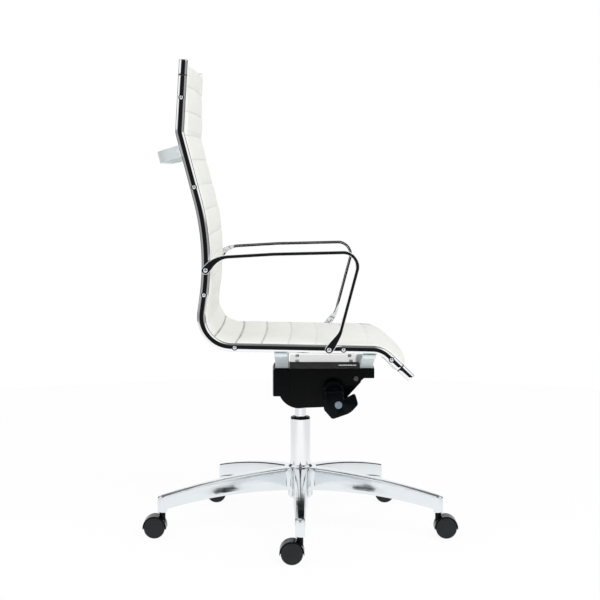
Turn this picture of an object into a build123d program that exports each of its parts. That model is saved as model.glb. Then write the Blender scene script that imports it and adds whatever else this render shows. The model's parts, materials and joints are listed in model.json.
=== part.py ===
"""Swivel office chair with a slung ribbed seat, a five-leg caster base and a knee-tilt mechanism.

Frame, in millimetres: +Z is up from the floor, +X is where the sitter faces and +Y is the
sitter's left. The origin is on the floor, on the axis of the gas column.
"""

from build123d import *
from math import atan2, cos, pi, radians, sin, sqrt
import os

os.makedirs("parts", exist_ok=True)

# ---------------------------------------------------------------- clearances
BODY_GAP = 0.4  # between faces of pieces that move past each other
RUNNING = 0.05  # radial, between a shaft and the bore that it turns or slides in
SNUG = 0.02  # radial, between fixed pieces that are pressed or screwed together
PAST = 1.0  # how far a cutting solid runs past the face that it opens
FAR = 600.0  # further than any piece reaches from its own middle

# ---------------------------------------------------------------- star base
LEG_COUNT = 5
FIRST_LEG_DEG = -90.0
CASTER_CIRCLE_R = 347.5
LEG_TOP_AT_HUB = 151.0
LEG_TOP_CROWN = 7.5  # rise of the arched top over its straight chord
LEG_TOP_AT_TIP = 101.5
LEG_FOOT_AT_HUB = 95.5
LEG_FOOT_AT_TIP = 67.0
LEG_FOOT_CROWN = 12.0
LEG_ROOT_WIDTH = 36.0
LEG_TIP_WIDTH = 22.6
LEG_WALL = 4.5
LEG_ROOT_BLEND_R = 16.0
LEG_EDGE_R = 2.5
TIP_BOSS_R = 11.5
TIP_BOSS_H = 41.0
TIP_BOSS_OVER_HOOD = 6.9
HUB_WALL = 4.6
HUB_TOP = 157.0
HUB_FOOT = 74.0

# ---------------------------------------------------------------- column
STAND_R = 25.0
STAND_WALL = 2.0
STAND_TOP = 270.0
STAND_CONE_TOP = 118.0
STAND_CONE_FOOT = 74.0
STAND_NOSE_R = 20.0
STAND_FOOT = 48.0
COLLAR_H = 5.5
COLLAR_R = 23.6
COLLAR_EDGE = 1.0
BUSH_LENGTH = 80.0
END_PLATE_H = 3.0
END_PLATE_RECESS = 4.0
RACE_H = 2.4
RACE_R = 14.0
BALL_R = 2.0
BALL_COUNT = 8
BALL_CIRCLE_R = 9.0
ROD_R = 5.0
ROD_JOURNAL_R = 4.0
ROD_FOOT_RECESS = 1.0
CLIP_R = 7.5
CLIP_H = 1.4
CLIP_GROOVE_R = 3.0
BUMPER_R = 11.0
BUMPER_H = 16.0
PISTON_H = 8.0
PISTON_STOP = 48.0  # from the piston's top to the top of the cylinder at the lowest seat
CYLINDER_R = 14.0
CYLINDER_WALL = 1.5
CYLINDER_FOOT = 92.0
CYLINDER_TOP = 350.0
CYLINDER_TAPER_H = 42.0
CYLINDER_TAPER = 0.7  # radius lost over the taper
CYLINDER_CAP_H = 12.0
SEAL_H = 12.0
RELEASE_PIN_R = 3.0
RELEASE_PIN_UP = 7.0
RELEASE_PIN_DOWN = 22.0

# ---------------------------------------------------------------- casters
WHEEL_R = 25.0
CASTER_WIDTH = 48.0
CASTER_TRAIL = 18.3
CASTER_WEB = 11.6
WHEEL_SIDE_GAP = 0.5
WHEEL_RIM = 3.5
WHEEL_DISC = 3.0
WHEEL_HUB_R = 8.0
WHEEL_EDGE = 1.6
AXLE_R = 4.0
AXLE_END_WALL = 2.0
HOOD_GAP = 1.3
HOOD_WALL = 1.8
HOOD_SIDE_INSET = 4.0
HOOD_LIP_DROP = 3.0
NECK_R = 7.3
STEM_R = 5.5
STEM_ROOT_R = 4.0
STEM_ROOT_DEPTH = 12.0
STEM_TOP_GAP = 6.0
STEM_LEAD_IN = 1.5

# ---------------------------------------------------------------- tilt mechanism
PIVOT_X = 134.0
PIVOT_Z = 377.0
PIVOT_PIN_R = 6.0
PIVOT_PIN_PROUD = 2.0
PIVOT_BUSH_R = 9.0
PIVOT_FLANGE = 2.0
PIVOT_EAR_R = 15.0
CASTING_HALF_WIDTH = 62.0
CASTING_WALL = 4.0
CASTING_BACK_X = -50.0
CASTING_BACK_TOP = 348.0
CASTING_BACK_FOOT = 335.0
CASTING_HEEL_X = -33.0
CASTING_HEEL_Z = 313.5
CASTING_BELLY_X = 8.0
CASTING_BELLY_Z = 305.0
CASTING_CHIN_X = 92.0
CASTING_CHIN_Z = 308.0
SOCKET_WALL = 8.0
SOCKET_DROP = 2.0  # from the cylinder's top to the socket's top
SHELL_TOP = 402.0
SHELL_WALL = 3.5
SHELL_SIDE_GAP = 2.0
SHELL_BACK_X = -62.0
SHELL_SKIRT_BACK_X = -30.0
SHELL_SKIRT_BACK_Z = 334.0
SHELL_SKIRT_MID_X = 46.0
SHELL_SKIRT_MID_Z = 351.0
SHELL_NOSE_X = 178.0
SHELL_NOSE_H = 24.0
SHELL_CHIN_X = 153.0
SHELL_CHIN_FOOT_X = 122.0
SHELL_CHIN_FOOT_Z = 349.0
ARCH_R = 30.0
REAR_COVER_WALL = 3.0
REAR_COVER_PLAY = 0.3
REAR_COVER_BULGE = 2.5
COVER_FRONT_X = -26.0
SEAT_PLATE_H = 16.0
SEAT_PLATE_GAUGE = 3.0
SEAT_PLATE_BACK_X = -26.0
SEAT_PLATE_FRONT_X = 141.0
SEAT_PLATE_LAP = 3.6  # how far the plate's flanges stand out from the shell's sides
SLOT_LENGTH = 44.0
SLOT_H = 5.0
SLOT_CENTRE_X = 113.0
SPRING_X = 46.0
SPRING_R = 15.0
SPRING_WIRE_R = 2.3
SPRING_SIDE_GAP = 2.7  # from the coil to the casting's side wall
SPRING_TURNS = 5.5
SPRING_FOOT_PAD = 6.0
ROCKER_PIN_X = 30.0
ROCKER_PIN_R = 3.0
ROCKER_PIN_THIN_R = 1.5
ROCKER_H = 6.0
ROCKER_WIDTH = 12.0
ROCKER_LIFT = 0.6
ROCKER_FRONT_X = 106.0
ROCKER_BACK_X = -6.0
ROCKER_EAR_WALL = 4.0
ROCKER_EAR_RISE = 3.0
ROCKER_EAR_FOOT_HALF = 7.0
ROCKER_EAR_TOP_HALF = 6.0

# ---------------------------------------------------------------- lever and tension knob
LEVER_X = 80.0
LEVER_Z = 350.0
LEVER_SHAFT_R = 5.0
LEVER_INNER_Y = -6.0
LEVER_CAM_REACH = 21.0
LEVER_CAM_H = 5.0
LEVER_CAM_GAP = 0.8
KNOB_R = 24.0
KNOB_SIDE_GAP = 4.5  # from the shell's cheek to the knob
KNOB_WIDTH = 28.0
KNOB_SPINDLE_R = 8.5
KNOB_GRIP_COUNT = 18
KNOB_GRIP_R = 1.6
KNOB_EDGE = 2.5
KNOB_SPINDLE_LAP = 3.0  # past the inside of the casting's wall
PADDLE_NECK_LENGTH = 28.0  # from the knob's outer face to the paddle
PADDLE_THICK = 18.0
PADDLE_NECK_R = 12.0
PADDLE_EDGE_R = 2.0
PADDLE_END_WALL = 3.0
PADDLE_CORNERS = (  # (forward, up) from the shaft's axis
    (-22.0, 7.0),
    (20.5, 7.0),
    (22.5, -12.5),
    (49.5, 1.0),
    (57.0, -24.0),
    (38.0, -44.5),
    (-4.5, -59.5),
    (-25.0, -36.0),
)
PADDLE_BENDS = (3.0, 3.0, 3.0, 4.0, 10.0, 40.0, 9.0, 12.0)
BUTTON_R = 8.8
BUTTON_FORWARD = 10.0
BUTTON_BELOW = 25.0
BUTTON_LENGTH = 8.0
BUTTON_PROUD = 2.5
BUTTON_TRAVEL = 3.0
BUTTON_EDGE = 1.2

# ---------------------------------------------------------------- side rails
RAIL_Y = 247.0
RAIL_DEPTH = 20.0  # in the side view
RAIL_WIDTH = 13.0  # across the chair
RAIL_ROUND = 6.2
RAIL_WALL = 1.8
RAIL_TOP = (-261.6, 1124.0)
RAIL_NECK = (-271.6, 962.0)
RAIL_LUMBAR = (-203.5, 701.0)
RAIL_HIP = (-235.2, 475.7)
RAIL_KNEE = (186.0, 467.5)
RAIL_TOE = (254.3, 402.6)
RAIL_BENDS = (30.0, 571.0, 70.0, 52.0)
CAP_LENGTH = 36.0
CAP_SPIGOT = 12.0
CAP_END_R = 2.0
RAIL_SCREW_STATIONS = (85.0, 290.0, 537.0, 703.0, 951.0, 1067.0)
SCREW_HEAD_R = 4.6
SCREW_HEAD_H = 2.8
SCREW_SHANK_R = 2.5
SCREW_DEPTH = 8.0

# ---------------------------------------------------------------- seat sling
SLING_TOP_STATION = 15.0
SLING_FRONT_OVERLAP = 3.0
SLING_REAR_DEPTH = 8.0
SLING_FRONT_DEPTH = 12.0
SLING_EDGE_GAP = 0.4

# ---------------------------------------------------------------- arms
ARM_REAR_STATION = 480.0
ARM_FRONT_STATION = 918.0
ARM_BAR = 8.0
ARM_TOP_WIDTH = 24.0
ARM_EYE_R = 9.5
ARM_EYE_WIDTH = 9.0
ARM_KNEE = (-188.0, 679.5)
ARM_MIDDLE = (-60.0, 687.0)
ARM_CORNER = (139.5, 691.7)
ARM_SHIN = (91.0, 507.0)
ARM_BENDS = (60.0, 300.0, 32.0, 60.0)
ARM_FLARE_H = 42.0  # height over which the front leg widens
ARM_FLARE_X = 60.0  # length over which the rear end widens
ARM_FLARE_GAP = 2.0  # clear height over the rail before the front leg widens
ARM_WIDEN_X = -180.0  # where the rear end starts to widen

# ---------------------------------------------------------------- braces and their bolts
BRACE_LENGTH_X = 30.0
BRACE_GAUGE = 8.0
BRACE_REAR_STATION = 808.0
BRACE_FRONT_STATION = 1010.0
BRACE_FLAT_INSET = 1.5  # in from the outside of the shell's cheeks
BRACE_PAD = 16.0
BRACE_SHOULDER_INSET = 25.0  # in from the rails' centres
BRACE_BEND_R = 34.0
BRACE_BOLT_Y = 42.0
BRACE_BOLT_R = 4.0
BRACE_BOLT_HEAD_R = 6.5
BRACE_BOLT_HEAD_H = 5.0
BRACE_BOLT_EDGE = 0.8
BRACE_SCREW_R = 2.5
BRACE_SCREW_HEAD_R = 4.5
BRACE_SCREW_HEAD_H = 3.0
BACK_BRACE_STATION = 203.0
BACK_BRACE_HEIGHT = 26.5
BACK_BRACE_GAUGE = 4.0
BACK_BRACE_DEPTH = 56.0
BACK_BRACE_SHOULDER_INSET = 67.0  # in from the rails' centres
BACK_BRACE_TAB = 20.0
BACK_BRACE_BEND_R = 100.0
BACK_BRACE_TAB_R = 14.0
PLATE_SCREW_XS = (-8.0, 122.0)
PLATE_SCREW_INSET = 12.0  # in from the inside of the shell's cheeks

# ---------------------------------------------------------------- dependent sizes
LEG_STEP_DEG = 360.0 / LEG_COUNT
STAND_BORE_R = STAND_R - STAND_WALL
STAND_NOSE_BORE_R = STAND_NOSE_R - STAND_WALL
COLLAR_TOP = STAND_TOP + COLLAR_H
END_PLATE_Z = STAND_FOOT + END_PLATE_RECESS
LOWER_RACE_Z = END_PLATE_Z + END_PLATE_H
BALL_Z = LOWER_RACE_Z + RACE_H + RUNNING + BALL_R
UPPER_RACE_Z = BALL_Z + BALL_R + RUNNING
ROD_SHOULDER_Z = UPPER_RACE_Z + RACE_H
ROD_FOOT = STAND_FOOT + ROD_FOOT_RECESS
CLIP_Z = END_PLATE_Z - BODY_GAP - CLIP_H
CYLINDER_BORE_R = CYLINDER_R - CYLINDER_WALL
ROD_TOP = CYLINDER_TOP - PISTON_STOP
STEM_BORE_R = STEM_R + RUNNING
HOOD_BORE_R = WHEEL_R + HOOD_GAP
HOOD_R = HOOD_BORE_R + HOOD_WALL
TIP_BOSS_FOOT = WHEEL_R + HOOD_R + TIP_BOSS_OVER_HOOD
TIP_BOSS_TOP = TIP_BOSS_FOOT + TIP_BOSS_H
NECK_TOP = TIP_BOSS_FOOT - BODY_GAP
STEM_TOP = TIP_BOSS_TOP - STEM_TOP_GAP
HOOD_WIDTH = CASTER_WIDTH - 2 * HOOD_SIDE_INSET
WHEEL_INNER_Y = CASTER_WEB / 2 + WHEEL_SIDE_GAP
WHEEL_WIDTH = CASTER_WIDTH / 2 - WHEEL_INNER_Y
SHELL_INNER_Y = CASTING_HALF_WIDTH + SHELL_SIDE_GAP
SHELL_OUTER_Y = SHELL_INNER_Y + SHELL_WALL
SPRING_Y = CASTING_HALF_WIDTH - CASTING_WALL - SPRING_SIDE_GAP - SPRING_R - SPRING_WIRE_R
KNOB_INNER_Y = -SHELL_OUTER_Y - KNOB_SIDE_GAP
KNOB_OUTER_Y = KNOB_INNER_Y - KNOB_WIDTH
PADDLE_INNER_Y = KNOB_OUTER_Y - PADDLE_NECK_LENGTH
PLATE_OUTER_Y = SHELL_OUTER_Y + SEAT_PLATE_LAP
PLATE_SCREW_Y = SHELL_INNER_Y - PLATE_SCREW_INSET
PLATE_TOP = SHELL_TOP + SEAT_PLATE_H
ROCKER_Z = CYLINDER_TOP + RELEASE_PIN_UP + ROCKER_LIFT
PADDLE_OUTER_Y = PADDLE_INNER_Y - PADDLE_THICK
RAIL_HALF_DEPTH = RAIL_DEPTH / 2
RAIL_OUTER_Y = RAIL_Y + RAIL_WIDTH / 2
RAIL_INNER_Y = RAIL_Y - RAIL_WIDTH / 2
BRACE_FLAT_HALF = SHELL_OUTER_Y - BRACE_FLAT_INSET
BRACE_SHOULDER_Y = RAIL_Y - BRACE_SHOULDER_INSET
BACK_BRACE_SHOULDER_Y = RAIL_Y - BACK_BRACE_SHOULDER_INSET
SLING_HALF_WIDTH = RAIL_INNER_Y - SLING_EDGE_GAP
ARM_EYE_INNER_Y = RAIL_OUTER_Y


# ================================================================ helpers
def side_plane(y=0.0):
    """Plane whose sketch X is the chair's X and whose sketch Y is the chair's Z."""
    return Plane(origin=(0, y, 0), x_dir=(1, 0, 0), z_dir=(0, -1, 0))


def front_plane(x=0.0):
    """Plane whose sketch X is the chair's Y and whose sketch Y is the chair's Z."""
    return Plane(origin=(x, 0, 0), x_dir=(0, 1, 0), z_dir=(1, 0, 0))


def outline(*points):
    """Face inside a closed run of straight edges."""
    return make_face(Polyline(*points, close=True).edges())


def across(face, low_y, high_y):
    """Extrude a side-view face over a span of Y."""
    return extrude(side_plane(high_y) * face, high_y - low_y)


def disc(radius, low_z, high_z, x=0.0, y=0.0):
    """Upright cylinder between two heights."""
    return Pos(x, y, low_z) * Cylinder(radius, high_z - low_z, align=(Align.CENTER, Align.CENTER, Align.MIN))


def ring(outer_r, inner_r, low_z, high_z):
    """Upright tube between two heights, on the column's axis."""
    return disc(outer_r, low_z, high_z) - disc(inner_r, low_z - PAST, high_z + PAST)


def rod_y(radius, low_y, high_y, x=0.0, z=0.0):
    """Cylinder along Y."""
    along = Rot(X=-90) * Cylinder(radius, high_y - low_y, align=(Align.CENTER, Align.CENTER, Align.MIN))
    return Pos(x, low_y, z) * along


def lathe(*points):
    """Solid of revolution about Z from (radius, height) points."""
    return revolve(Plane.XZ * outline(*points), Axis.Z)


def mirrored(shape):
    """The same shape on the other side of the chair."""
    return mirror(shape, Plane.XZ)


def both_sides(shape):
    """The shape and its mirror image, as separate solids."""
    return [shape, mirrored(shape)]


def save(name, *shapes):
    """Write one node's solids to its STEP file."""
    solids = [solid for shape in shapes for solid in shape.solids()]
    whole = solids[0] if len(solids) == 1 else Compound(children=solids)
    whole.label = name
    export_step(whole, f"parts/{name}.step")


# ================================================================ star base
def arch(start, end, crown):
    """Arc between two points whose middle stands `crown` above the chord."""
    middle = ((start[0] + end[0]) / 2, (start[1] + end[1]) / 2 + crown)
    return ThreePointArc(start, middle, end)


def leg_side_profile(wall=0.0, drop=0.0):
    """Star's side view turned about its axis, thinned by `wall`, with its foot lowered by `drop`."""
    hub_edge = STAND_R
    reach = CASTER_CIRCLE_R - wall
    top = arch((hub_edge, LEG_TOP_AT_HUB - wall), (reach, LEG_TOP_AT_TIP - wall), LEG_TOP_CROWN)
    foot = arch((hub_edge, LEG_FOOT_AT_HUB - drop), (reach, LEG_FOOT_AT_TIP - drop), LEG_FOOT_CROWN)
    edges = [
        top,
        Line(top @ 1, foot @ 1),
        foot,
        Line(foot @ 0, (0, LEG_FOOT_AT_HUB - drop)),
        Line((0, LEG_FOOT_AT_HUB - drop), (0, LEG_TOP_AT_HUB - wall)),
        Line((0, LEG_TOP_AT_HUB - wall), top @ 0),
    ]
    return revolve(Plane.XZ * make_face(edges), Axis.Z)


def leg_plan(inset=0.0):
    """One leg seen from above, along +X, narrowed on each side by `inset`."""
    root = LEG_ROOT_WIDTH / 2 - inset
    tip = LEG_TIP_WIDTH / 2 - inset
    start = STAND_R if inset else 0.0
    end = CASTER_CIRCLE_R - (TIP_BOSS_R if inset else 0.0)
    return outline((start, -root), (end, -tip), (end, tip), (start, root))


def leg_angles():
    """Directions of the legs, in degrees from +X."""
    return [FIRST_LEG_DEG + index * LEG_STEP_DEG for index in range(LEG_COUNT)]


def leg_tips():
    """Caster pivots, as (x, y)."""
    return [
        (CASTER_CIRCLE_R * cos(radians(angle)), CASTER_CIRCLE_R * sin(radians(angle)))
        for angle in leg_angles()
    ]


def stand_outline(grow=0.0, low_z=STAND_FOOT, high_z=STAND_TOP):
    """The stand tube's outside, from its nose to its top, as (radius, height) points."""
    return [
        (0, low_z),
        (STAND_NOSE_R + grow, low_z),
        (STAND_NOSE_R + grow, STAND_CONE_FOOT),
        (STAND_R + grow, STAND_CONE_TOP),
        (STAND_R + grow, high_z),
        (0, high_z),
    ]


def star_base():
    """Five arched legs with open undersides on a hub, and an upright socket at each tip."""
    plan = Sketch() + [Rot(Z=angle) * leg_plan() for angle in leg_angles()]
    plan = plan.faces()[0]
    notches = [v for v in plan.vertices() if Vector(v.X, v.Y).length < CASTER_CIRCLE_R / 2]
    plan = fillet(notches, LEG_ROOT_BLEND_R)
    star = extrude(plan, LEG_TOP_AT_HUB + LEG_WALL) & leg_side_profile()
    rims = [e for e in star.edges() if is_top_rim(e)]
    star = fillet(rims, LEG_EDGE_R)
    pocket_core = leg_side_profile(LEG_WALL, LEG_FOOT_CROWN + LEG_WALL)
    for angle in leg_angles():
        star -= Rot(Z=angle) * extrude(leg_plan(LEG_WALL), LEG_TOP_AT_HUB) & pocket_core
    star += disc(STAND_R + HUB_WALL, HUB_FOOT, HUB_TOP)
    for x, y in leg_tips():
        star += disc(TIP_BOSS_R, TIP_BOSS_FOOT, TIP_BOSS_TOP, x, y)
        star -= disc(STEM_BORE_R, TIP_BOSS_FOOT - PAST, STEM_TOP + BODY_GAP, x, y)
    star -= lathe(*stand_outline(SNUG, HUB_FOOT - PAST, HUB_TOP + PAST))
    return star


def is_top_rim(edge):
    """True for the long upper edges of the legs."""
    middle = edge @ 0.5
    radius = Vector(middle.X, middle.Y).length
    long_enough = edge.length > CASTER_CIRCLE_R / 2
    return long_enough and middle.Z > (LEG_TOP_AT_TIP + LEG_FOOT_AT_HUB) / 2 and radius < CASTER_CIRCLE_R


# ================================================================ column
def column_stand_tube():
    """Outer tube of the column, with the tapered nose that wedges into the hub."""
    tube = lathe(*stand_outline())
    bore = [
        (0, STAND_FOOT - PAST),
        (STAND_NOSE_BORE_R, STAND_FOOT - PAST),
        (STAND_NOSE_BORE_R, STAND_CONE_FOOT),
        (STAND_BORE_R, STAND_CONE_TOP),
        (STAND_BORE_R, STAND_TOP + PAST),
        (0, STAND_TOP + PAST),
    ]
    return tube - lathe(*bore)


def guide_bush():
    """Plastic sleeve that guides the gas cylinder, with the collar that shows above the tube."""
    sleeve = disc(STAND_BORE_R - SNUG, STAND_TOP - BUSH_LENGTH, COLLAR_TOP)
    collar = disc(COLLAR_R, STAND_TOP, COLLAR_TOP)
    rim = collar.edges().filter_by(GeomType.CIRCLE).sort_by(Axis.Z)[-1]
    collar = chamfer(rim, COLLAR_EDGE)
    bore = disc(CYLINDER_R + RUNNING, STAND_TOP - BUSH_LENGTH - PAST, COLLAR_TOP + PAST)
    return sleeve + collar - bore


def thrust_balls():
    """Ring of bearing balls between the two races."""
    circle = PolarLocations(BALL_CIRCLE_R, BALL_COUNT)
    return [Pos(0, 0, BALL_Z) * place * Sphere(BALL_R) for place in circle]


def piston_rod():
    """Polished rod: clip groove, journal, shoulder on the bearing and a seat for the piston."""
    piston_foot = ROD_TOP - PISTON_H
    return lathe(
        (0, ROD_FOOT),
        (ROD_JOURNAL_R, ROD_FOOT),
        (ROD_JOURNAL_R, CLIP_Z),
        (CLIP_GROOVE_R, CLIP_Z),
        (CLIP_GROOVE_R, CLIP_Z + CLIP_H),
        (ROD_JOURNAL_R, CLIP_Z + CLIP_H),
        (ROD_JOURNAL_R, ROD_SHOULDER_Z),
        (ROD_R, ROD_SHOULDER_Z),
        (ROD_R, piston_foot),
        (ROD_JOURNAL_R, piston_foot),
        (ROD_JOURNAL_R, ROD_TOP),
        (0, ROD_TOP),
    )


def gas_cylinder():
    """Pressure tube, open at the foot for its seal, with a tapered head that holds the valve pin."""
    taper_foot = CYLINDER_TOP - CYLINDER_TAPER_H
    body = lathe(
        (0, CYLINDER_FOOT),
        (CYLINDER_R, CYLINDER_FOOT),
        (CYLINDER_R, taper_foot),
        (CYLINDER_R - CYLINDER_TAPER, CYLINDER_TOP),
        (0, CYLINDER_TOP),
    )
    body -= disc(CYLINDER_BORE_R - CYLINDER_TAPER, CYLINDER_FOOT - PAST, CYLINDER_TOP - CYLINDER_CAP_H)
    body -= disc(CYLINDER_BORE_R, CYLINDER_FOOT - PAST, taper_foot)
    return body - disc(RELEASE_PIN_R + RUNNING, CYLINDER_FOOT, CYLINDER_TOP + PAST)


# ================================================================ casters
def caster_housing():
    """Hood, central web and neck of a twin-wheel caster, with its pivot on Z and trail along +X."""
    axle_x = CASTER_TRAIL
    half = HOOD_WIDTH / 2
    hood = rod_y(HOOD_R, -half, half, axle_x, WHEEL_R)
    hood -= rod_y(HOOD_BORE_R, -half - PAST, half + PAST, axle_x, WHEEL_R)
    keep = Pos(axle_x, 0, WHEEL_R - HOOD_LIP_DROP) * Box(
        4 * HOOD_R, 2 * HOOD_R, 2 * HOOD_R, align=(Align.CENTER, Align.CENTER, Align.MIN)
    )
    web_half = CASTER_WEB / 2
    web = rod_y(HOOD_BORE_R + HOOD_WALL / 2, -web_half, web_half, axle_x, WHEEL_R)
    hub = rod_y(WHEEL_HUB_R, -web_half, web_half, axle_x, WHEEL_R)
    housing = (hood & keep) + (web & keep) + hub
    neck_foot = WHEEL_R + sqrt(HOOD_R**2 - (CASTER_TRAIL + NECK_R) ** 2)
    neck = disc(NECK_R, neck_foot, NECK_TOP)
    neck -= rod_y(HOOD_BORE_R + HOOD_WALL / 2, -HOOD_R, HOOD_R, axle_x, WHEEL_R)
    housing += neck
    housing -= disc(STEM_R + SNUG, stem_step_z(), NECK_TOP + PAST)
    housing -= disc(STEM_ROOT_R + SNUG, stem_step_z() - STEM_ROOT_DEPTH, NECK_TOP + PAST)
    return housing - rod_y(AXLE_R + SNUG, -HOOD_R, HOOD_R, axle_x, WHEEL_R)


def stem_step_z():
    """Height where the stem narrows, just above the hood's crown over the pivot."""
    return WHEEL_R + sqrt(HOOD_R**2 - (CASTER_TRAIL - STEM_R) ** 2)


def caster_pins():
    """Steel swivel stem and wheel axle of one caster."""
    step = stem_step_z()
    stem = lathe(
        (0, step - STEM_ROOT_DEPTH),
        (STEM_ROOT_R, step - STEM_ROOT_DEPTH),
        (STEM_ROOT_R, step),
        (STEM_R, step),
        (STEM_R, STEM_TOP - STEM_LEAD_IN),
        (STEM_R - STEM_LEAD_IN, STEM_TOP),
        (0, STEM_TOP),
    )
    reach = CASTER_WIDTH / 2 - WHEEL_DISC - AXLE_END_WALL
    return [stem, rod_y(AXLE_R, -reach, reach, CASTER_TRAIL, WHEEL_R)]


def caster_wheel(side):
    """Cup-shaped wheel, open towards the web, with a blind bore for the axle."""
    edge = WHEEL_EDGE
    width = WHEEL_WIDTH
    hub_face = 0.0
    profile = outline(
        (0, width),
        (WHEEL_R - 2 * edge, width),
        (WHEEL_R - edge / 2, width - edge),
        (WHEEL_R, width - 2 * edge),
        (WHEEL_R, edge),
        (WHEEL_R - edge, hub_face),
        (WHEEL_R - WHEEL_RIM, hub_face),
        (WHEEL_R - WHEEL_RIM, width - WHEEL_DISC),
        (WHEEL_HUB_R, width - WHEEL_DISC),
        (WHEEL_HUB_R, hub_face),
        (AXLE_R + RUNNING, hub_face),
        (AXLE_R + RUNNING, width - WHEEL_DISC),
        (0, width - WHEEL_DISC),
    )
    wheel = revolve(Plane.XZ * profile, Axis.Z)
    laid = Rot(X=-90) * wheel if side > 0 else Rot(X=90) * wheel
    return Pos(CASTER_TRAIL, side * WHEEL_INNER_Y, WHEEL_R) * laid


def caster_headings():
    """Trail direction of each caster: the wheels all stand square to the chair's side view."""
    return [0.0 if tip_x > CASTER_TRAIL else 180.0 for tip_x, _ in leg_tips()]


# ================================================================ tilt mechanism
def casting_profile(wall=0.0, lift=0.0):
    """Side view of the lower casting, thinned by `wall`, with its top raised by `lift`."""
    back = CASTING_BACK_X + wall
    slope = atan2(PIVOT_Z - PIVOT_EAR_R - CASTING_CHIN_Z, PIVOT_X - CASTING_CHIN_X)
    nose_x = PIVOT_X + PIVOT_EAR_R * sin(slope) - wall
    nose_z = PIVOT_Z - PIVOT_EAR_R * cos(slope) + wall
    belly = ThreePointArc(
        (back, CASTING_BACK_FOOT + wall),
        (CASTING_HEEL_X + wall, CASTING_HEEL_Z + wall),
        (CASTING_BELLY_X, CASTING_BELLY_Z + wall),
    )
    rest = Polyline(
        belly @ 1,
        (CASTING_CHIN_X, CASTING_CHIN_Z + wall),
        (nose_x, nose_z),
        (nose_x, PIVOT_Z + PIVOT_EAR_R / 2 + lift),
        (PIVOT_X - PIVOT_EAR_R, PIVOT_Z + PIVOT_EAR_R + lift),
        (back, CASTING_BACK_TOP + lift),
        belly @ 0,
    )
    return make_face([belly, *rest.edges()])


def lower_casting():
    """Fixed half of the mechanism: an open trough with the column's tapered socket in its floor."""
    half = CASTING_HALF_WIDTH
    trough = across(casting_profile(), -half, half)
    trough -= across(casting_profile(CASTING_WALL, FAR), -half + CASTING_WALL, half - CASTING_WALL)
    socket_r = CYLINDER_R + SOCKET_WALL
    pad_foot = CASTING_BELLY_Z + CASTING_WALL / 2
    trough += disc(socket_r, pad_foot, CYLINDER_TOP - SOCKET_DROP)
    for y in (-SPRING_Y, SPRING_Y):
        trough += disc(SPRING_R + SPRING_WIRE_R, pad_foot, spring_foot_z(), SPRING_X, y)
    ear_half = ROCKER_WIDTH / 2 + ROCKER_EAR_WALL
    ear_top = ROCKER_Z + ROCKER_H + ROCKER_EAR_RISE
    ear = outline(
        (ROCKER_PIN_X - ROCKER_EAR_FOOT_HALF, CASTING_CHIN_Z),
        (ROCKER_PIN_X + ROCKER_EAR_FOOT_HALF, CASTING_CHIN_Z),
        (ROCKER_PIN_X + ROCKER_EAR_TOP_HALF, ear_top),
        (ROCKER_PIN_X - ROCKER_EAR_TOP_HALF, ear_top),
    )
    slot_half = ROCKER_WIDTH / 2 + BODY_GAP
    trough += across(ear, -ear_half, -slot_half)
    trough += across(ear, slot_half, ear_half)
    trough -= column_taper(SNUG)
    trough -= rod_y(ROCKER_PIN_R + SNUG, -ear_half - PAST, ear_half + PAST, ROCKER_PIN_X, rocker_pin_z())
    trough -= rod_y(PIVOT_PIN_R + SNUG, -half - PAST, half + PAST, PIVOT_X, PIVOT_Z)
    trough -= rod_y(KNOB_SPINDLE_R + RUNNING, -half - PAST, -half + CASTING_WALL + PAST, LEVER_X, LEVER_Z)
    return trough


def column_taper(grow):
    """The gas cylinder's outside through the casting, grown by a clearance."""
    taper_foot = CYLINDER_TOP - CYLINDER_TAPER_H
    return lathe(
        (0, CASTING_BELLY_Z - PAST),
        (CYLINDER_R + grow, CASTING_BELLY_Z - PAST),
        (CYLINDER_R + grow, taper_foot),
        (CYLINDER_R - CYLINDER_TAPER + grow, CYLINDER_TOP),
        (0, CYLINDER_TOP),
    )


def spring_foot_z():
    """Top of the pads that the tilt springs stand on."""
    return CASTING_CHIN_Z + CASTING_WALL + SPRING_FOOT_PAD


def rocker_pin_z():
    """Height of the rocker's pin, at mid-height of the rocker."""
    return ROCKER_Z + ROCKER_H / 2


def tilt_springs():
    """Pair of coil springs between the casting's floor and the upper shell."""
    foot = spring_foot_z() + SPRING_WIRE_R + BODY_GAP
    head = SHELL_TOP - SHELL_WALL - SPRING_WIRE_R - BODY_GAP
    height = head - foot
    coil = Helix(pitch=height / SPRING_TURNS, height=height, radius=SPRING_R)
    section = Plane(origin=coil @ 0, z_dir=coil % 0) * Circle(SPRING_WIRE_R)
    spring = sweep(section, path=coil, is_frenet=True)
    return [Pos(SPRING_X, y, foot) * spring for y in (-SPRING_Y, SPRING_Y)]


def shell_profile():
    """Side view of the upper shell's cheeks."""
    nose_foot = SHELL_TOP - SHELL_NOSE_H
    return outline(
        (SHELL_BACK_X, SHELL_TOP),
        (SHELL_BACK_X, SHELL_TOP - 2 * SHELL_WALL),
        (SHELL_SKIRT_BACK_X, SHELL_TOP - 2 * SHELL_WALL),
        (SHELL_SKIRT_BACK_X, SHELL_SKIRT_BACK_Z),
        (SHELL_SKIRT_MID_X, SHELL_SKIRT_MID_Z),
        (SHELL_CHIN_FOOT_X, SHELL_CHIN_FOOT_Z),
        (SHELL_CHIN_X, nose_foot),
        (SHELL_NOSE_X, nose_foot),
        (SHELL_NOSE_X, SHELL_TOP),
    )


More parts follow.
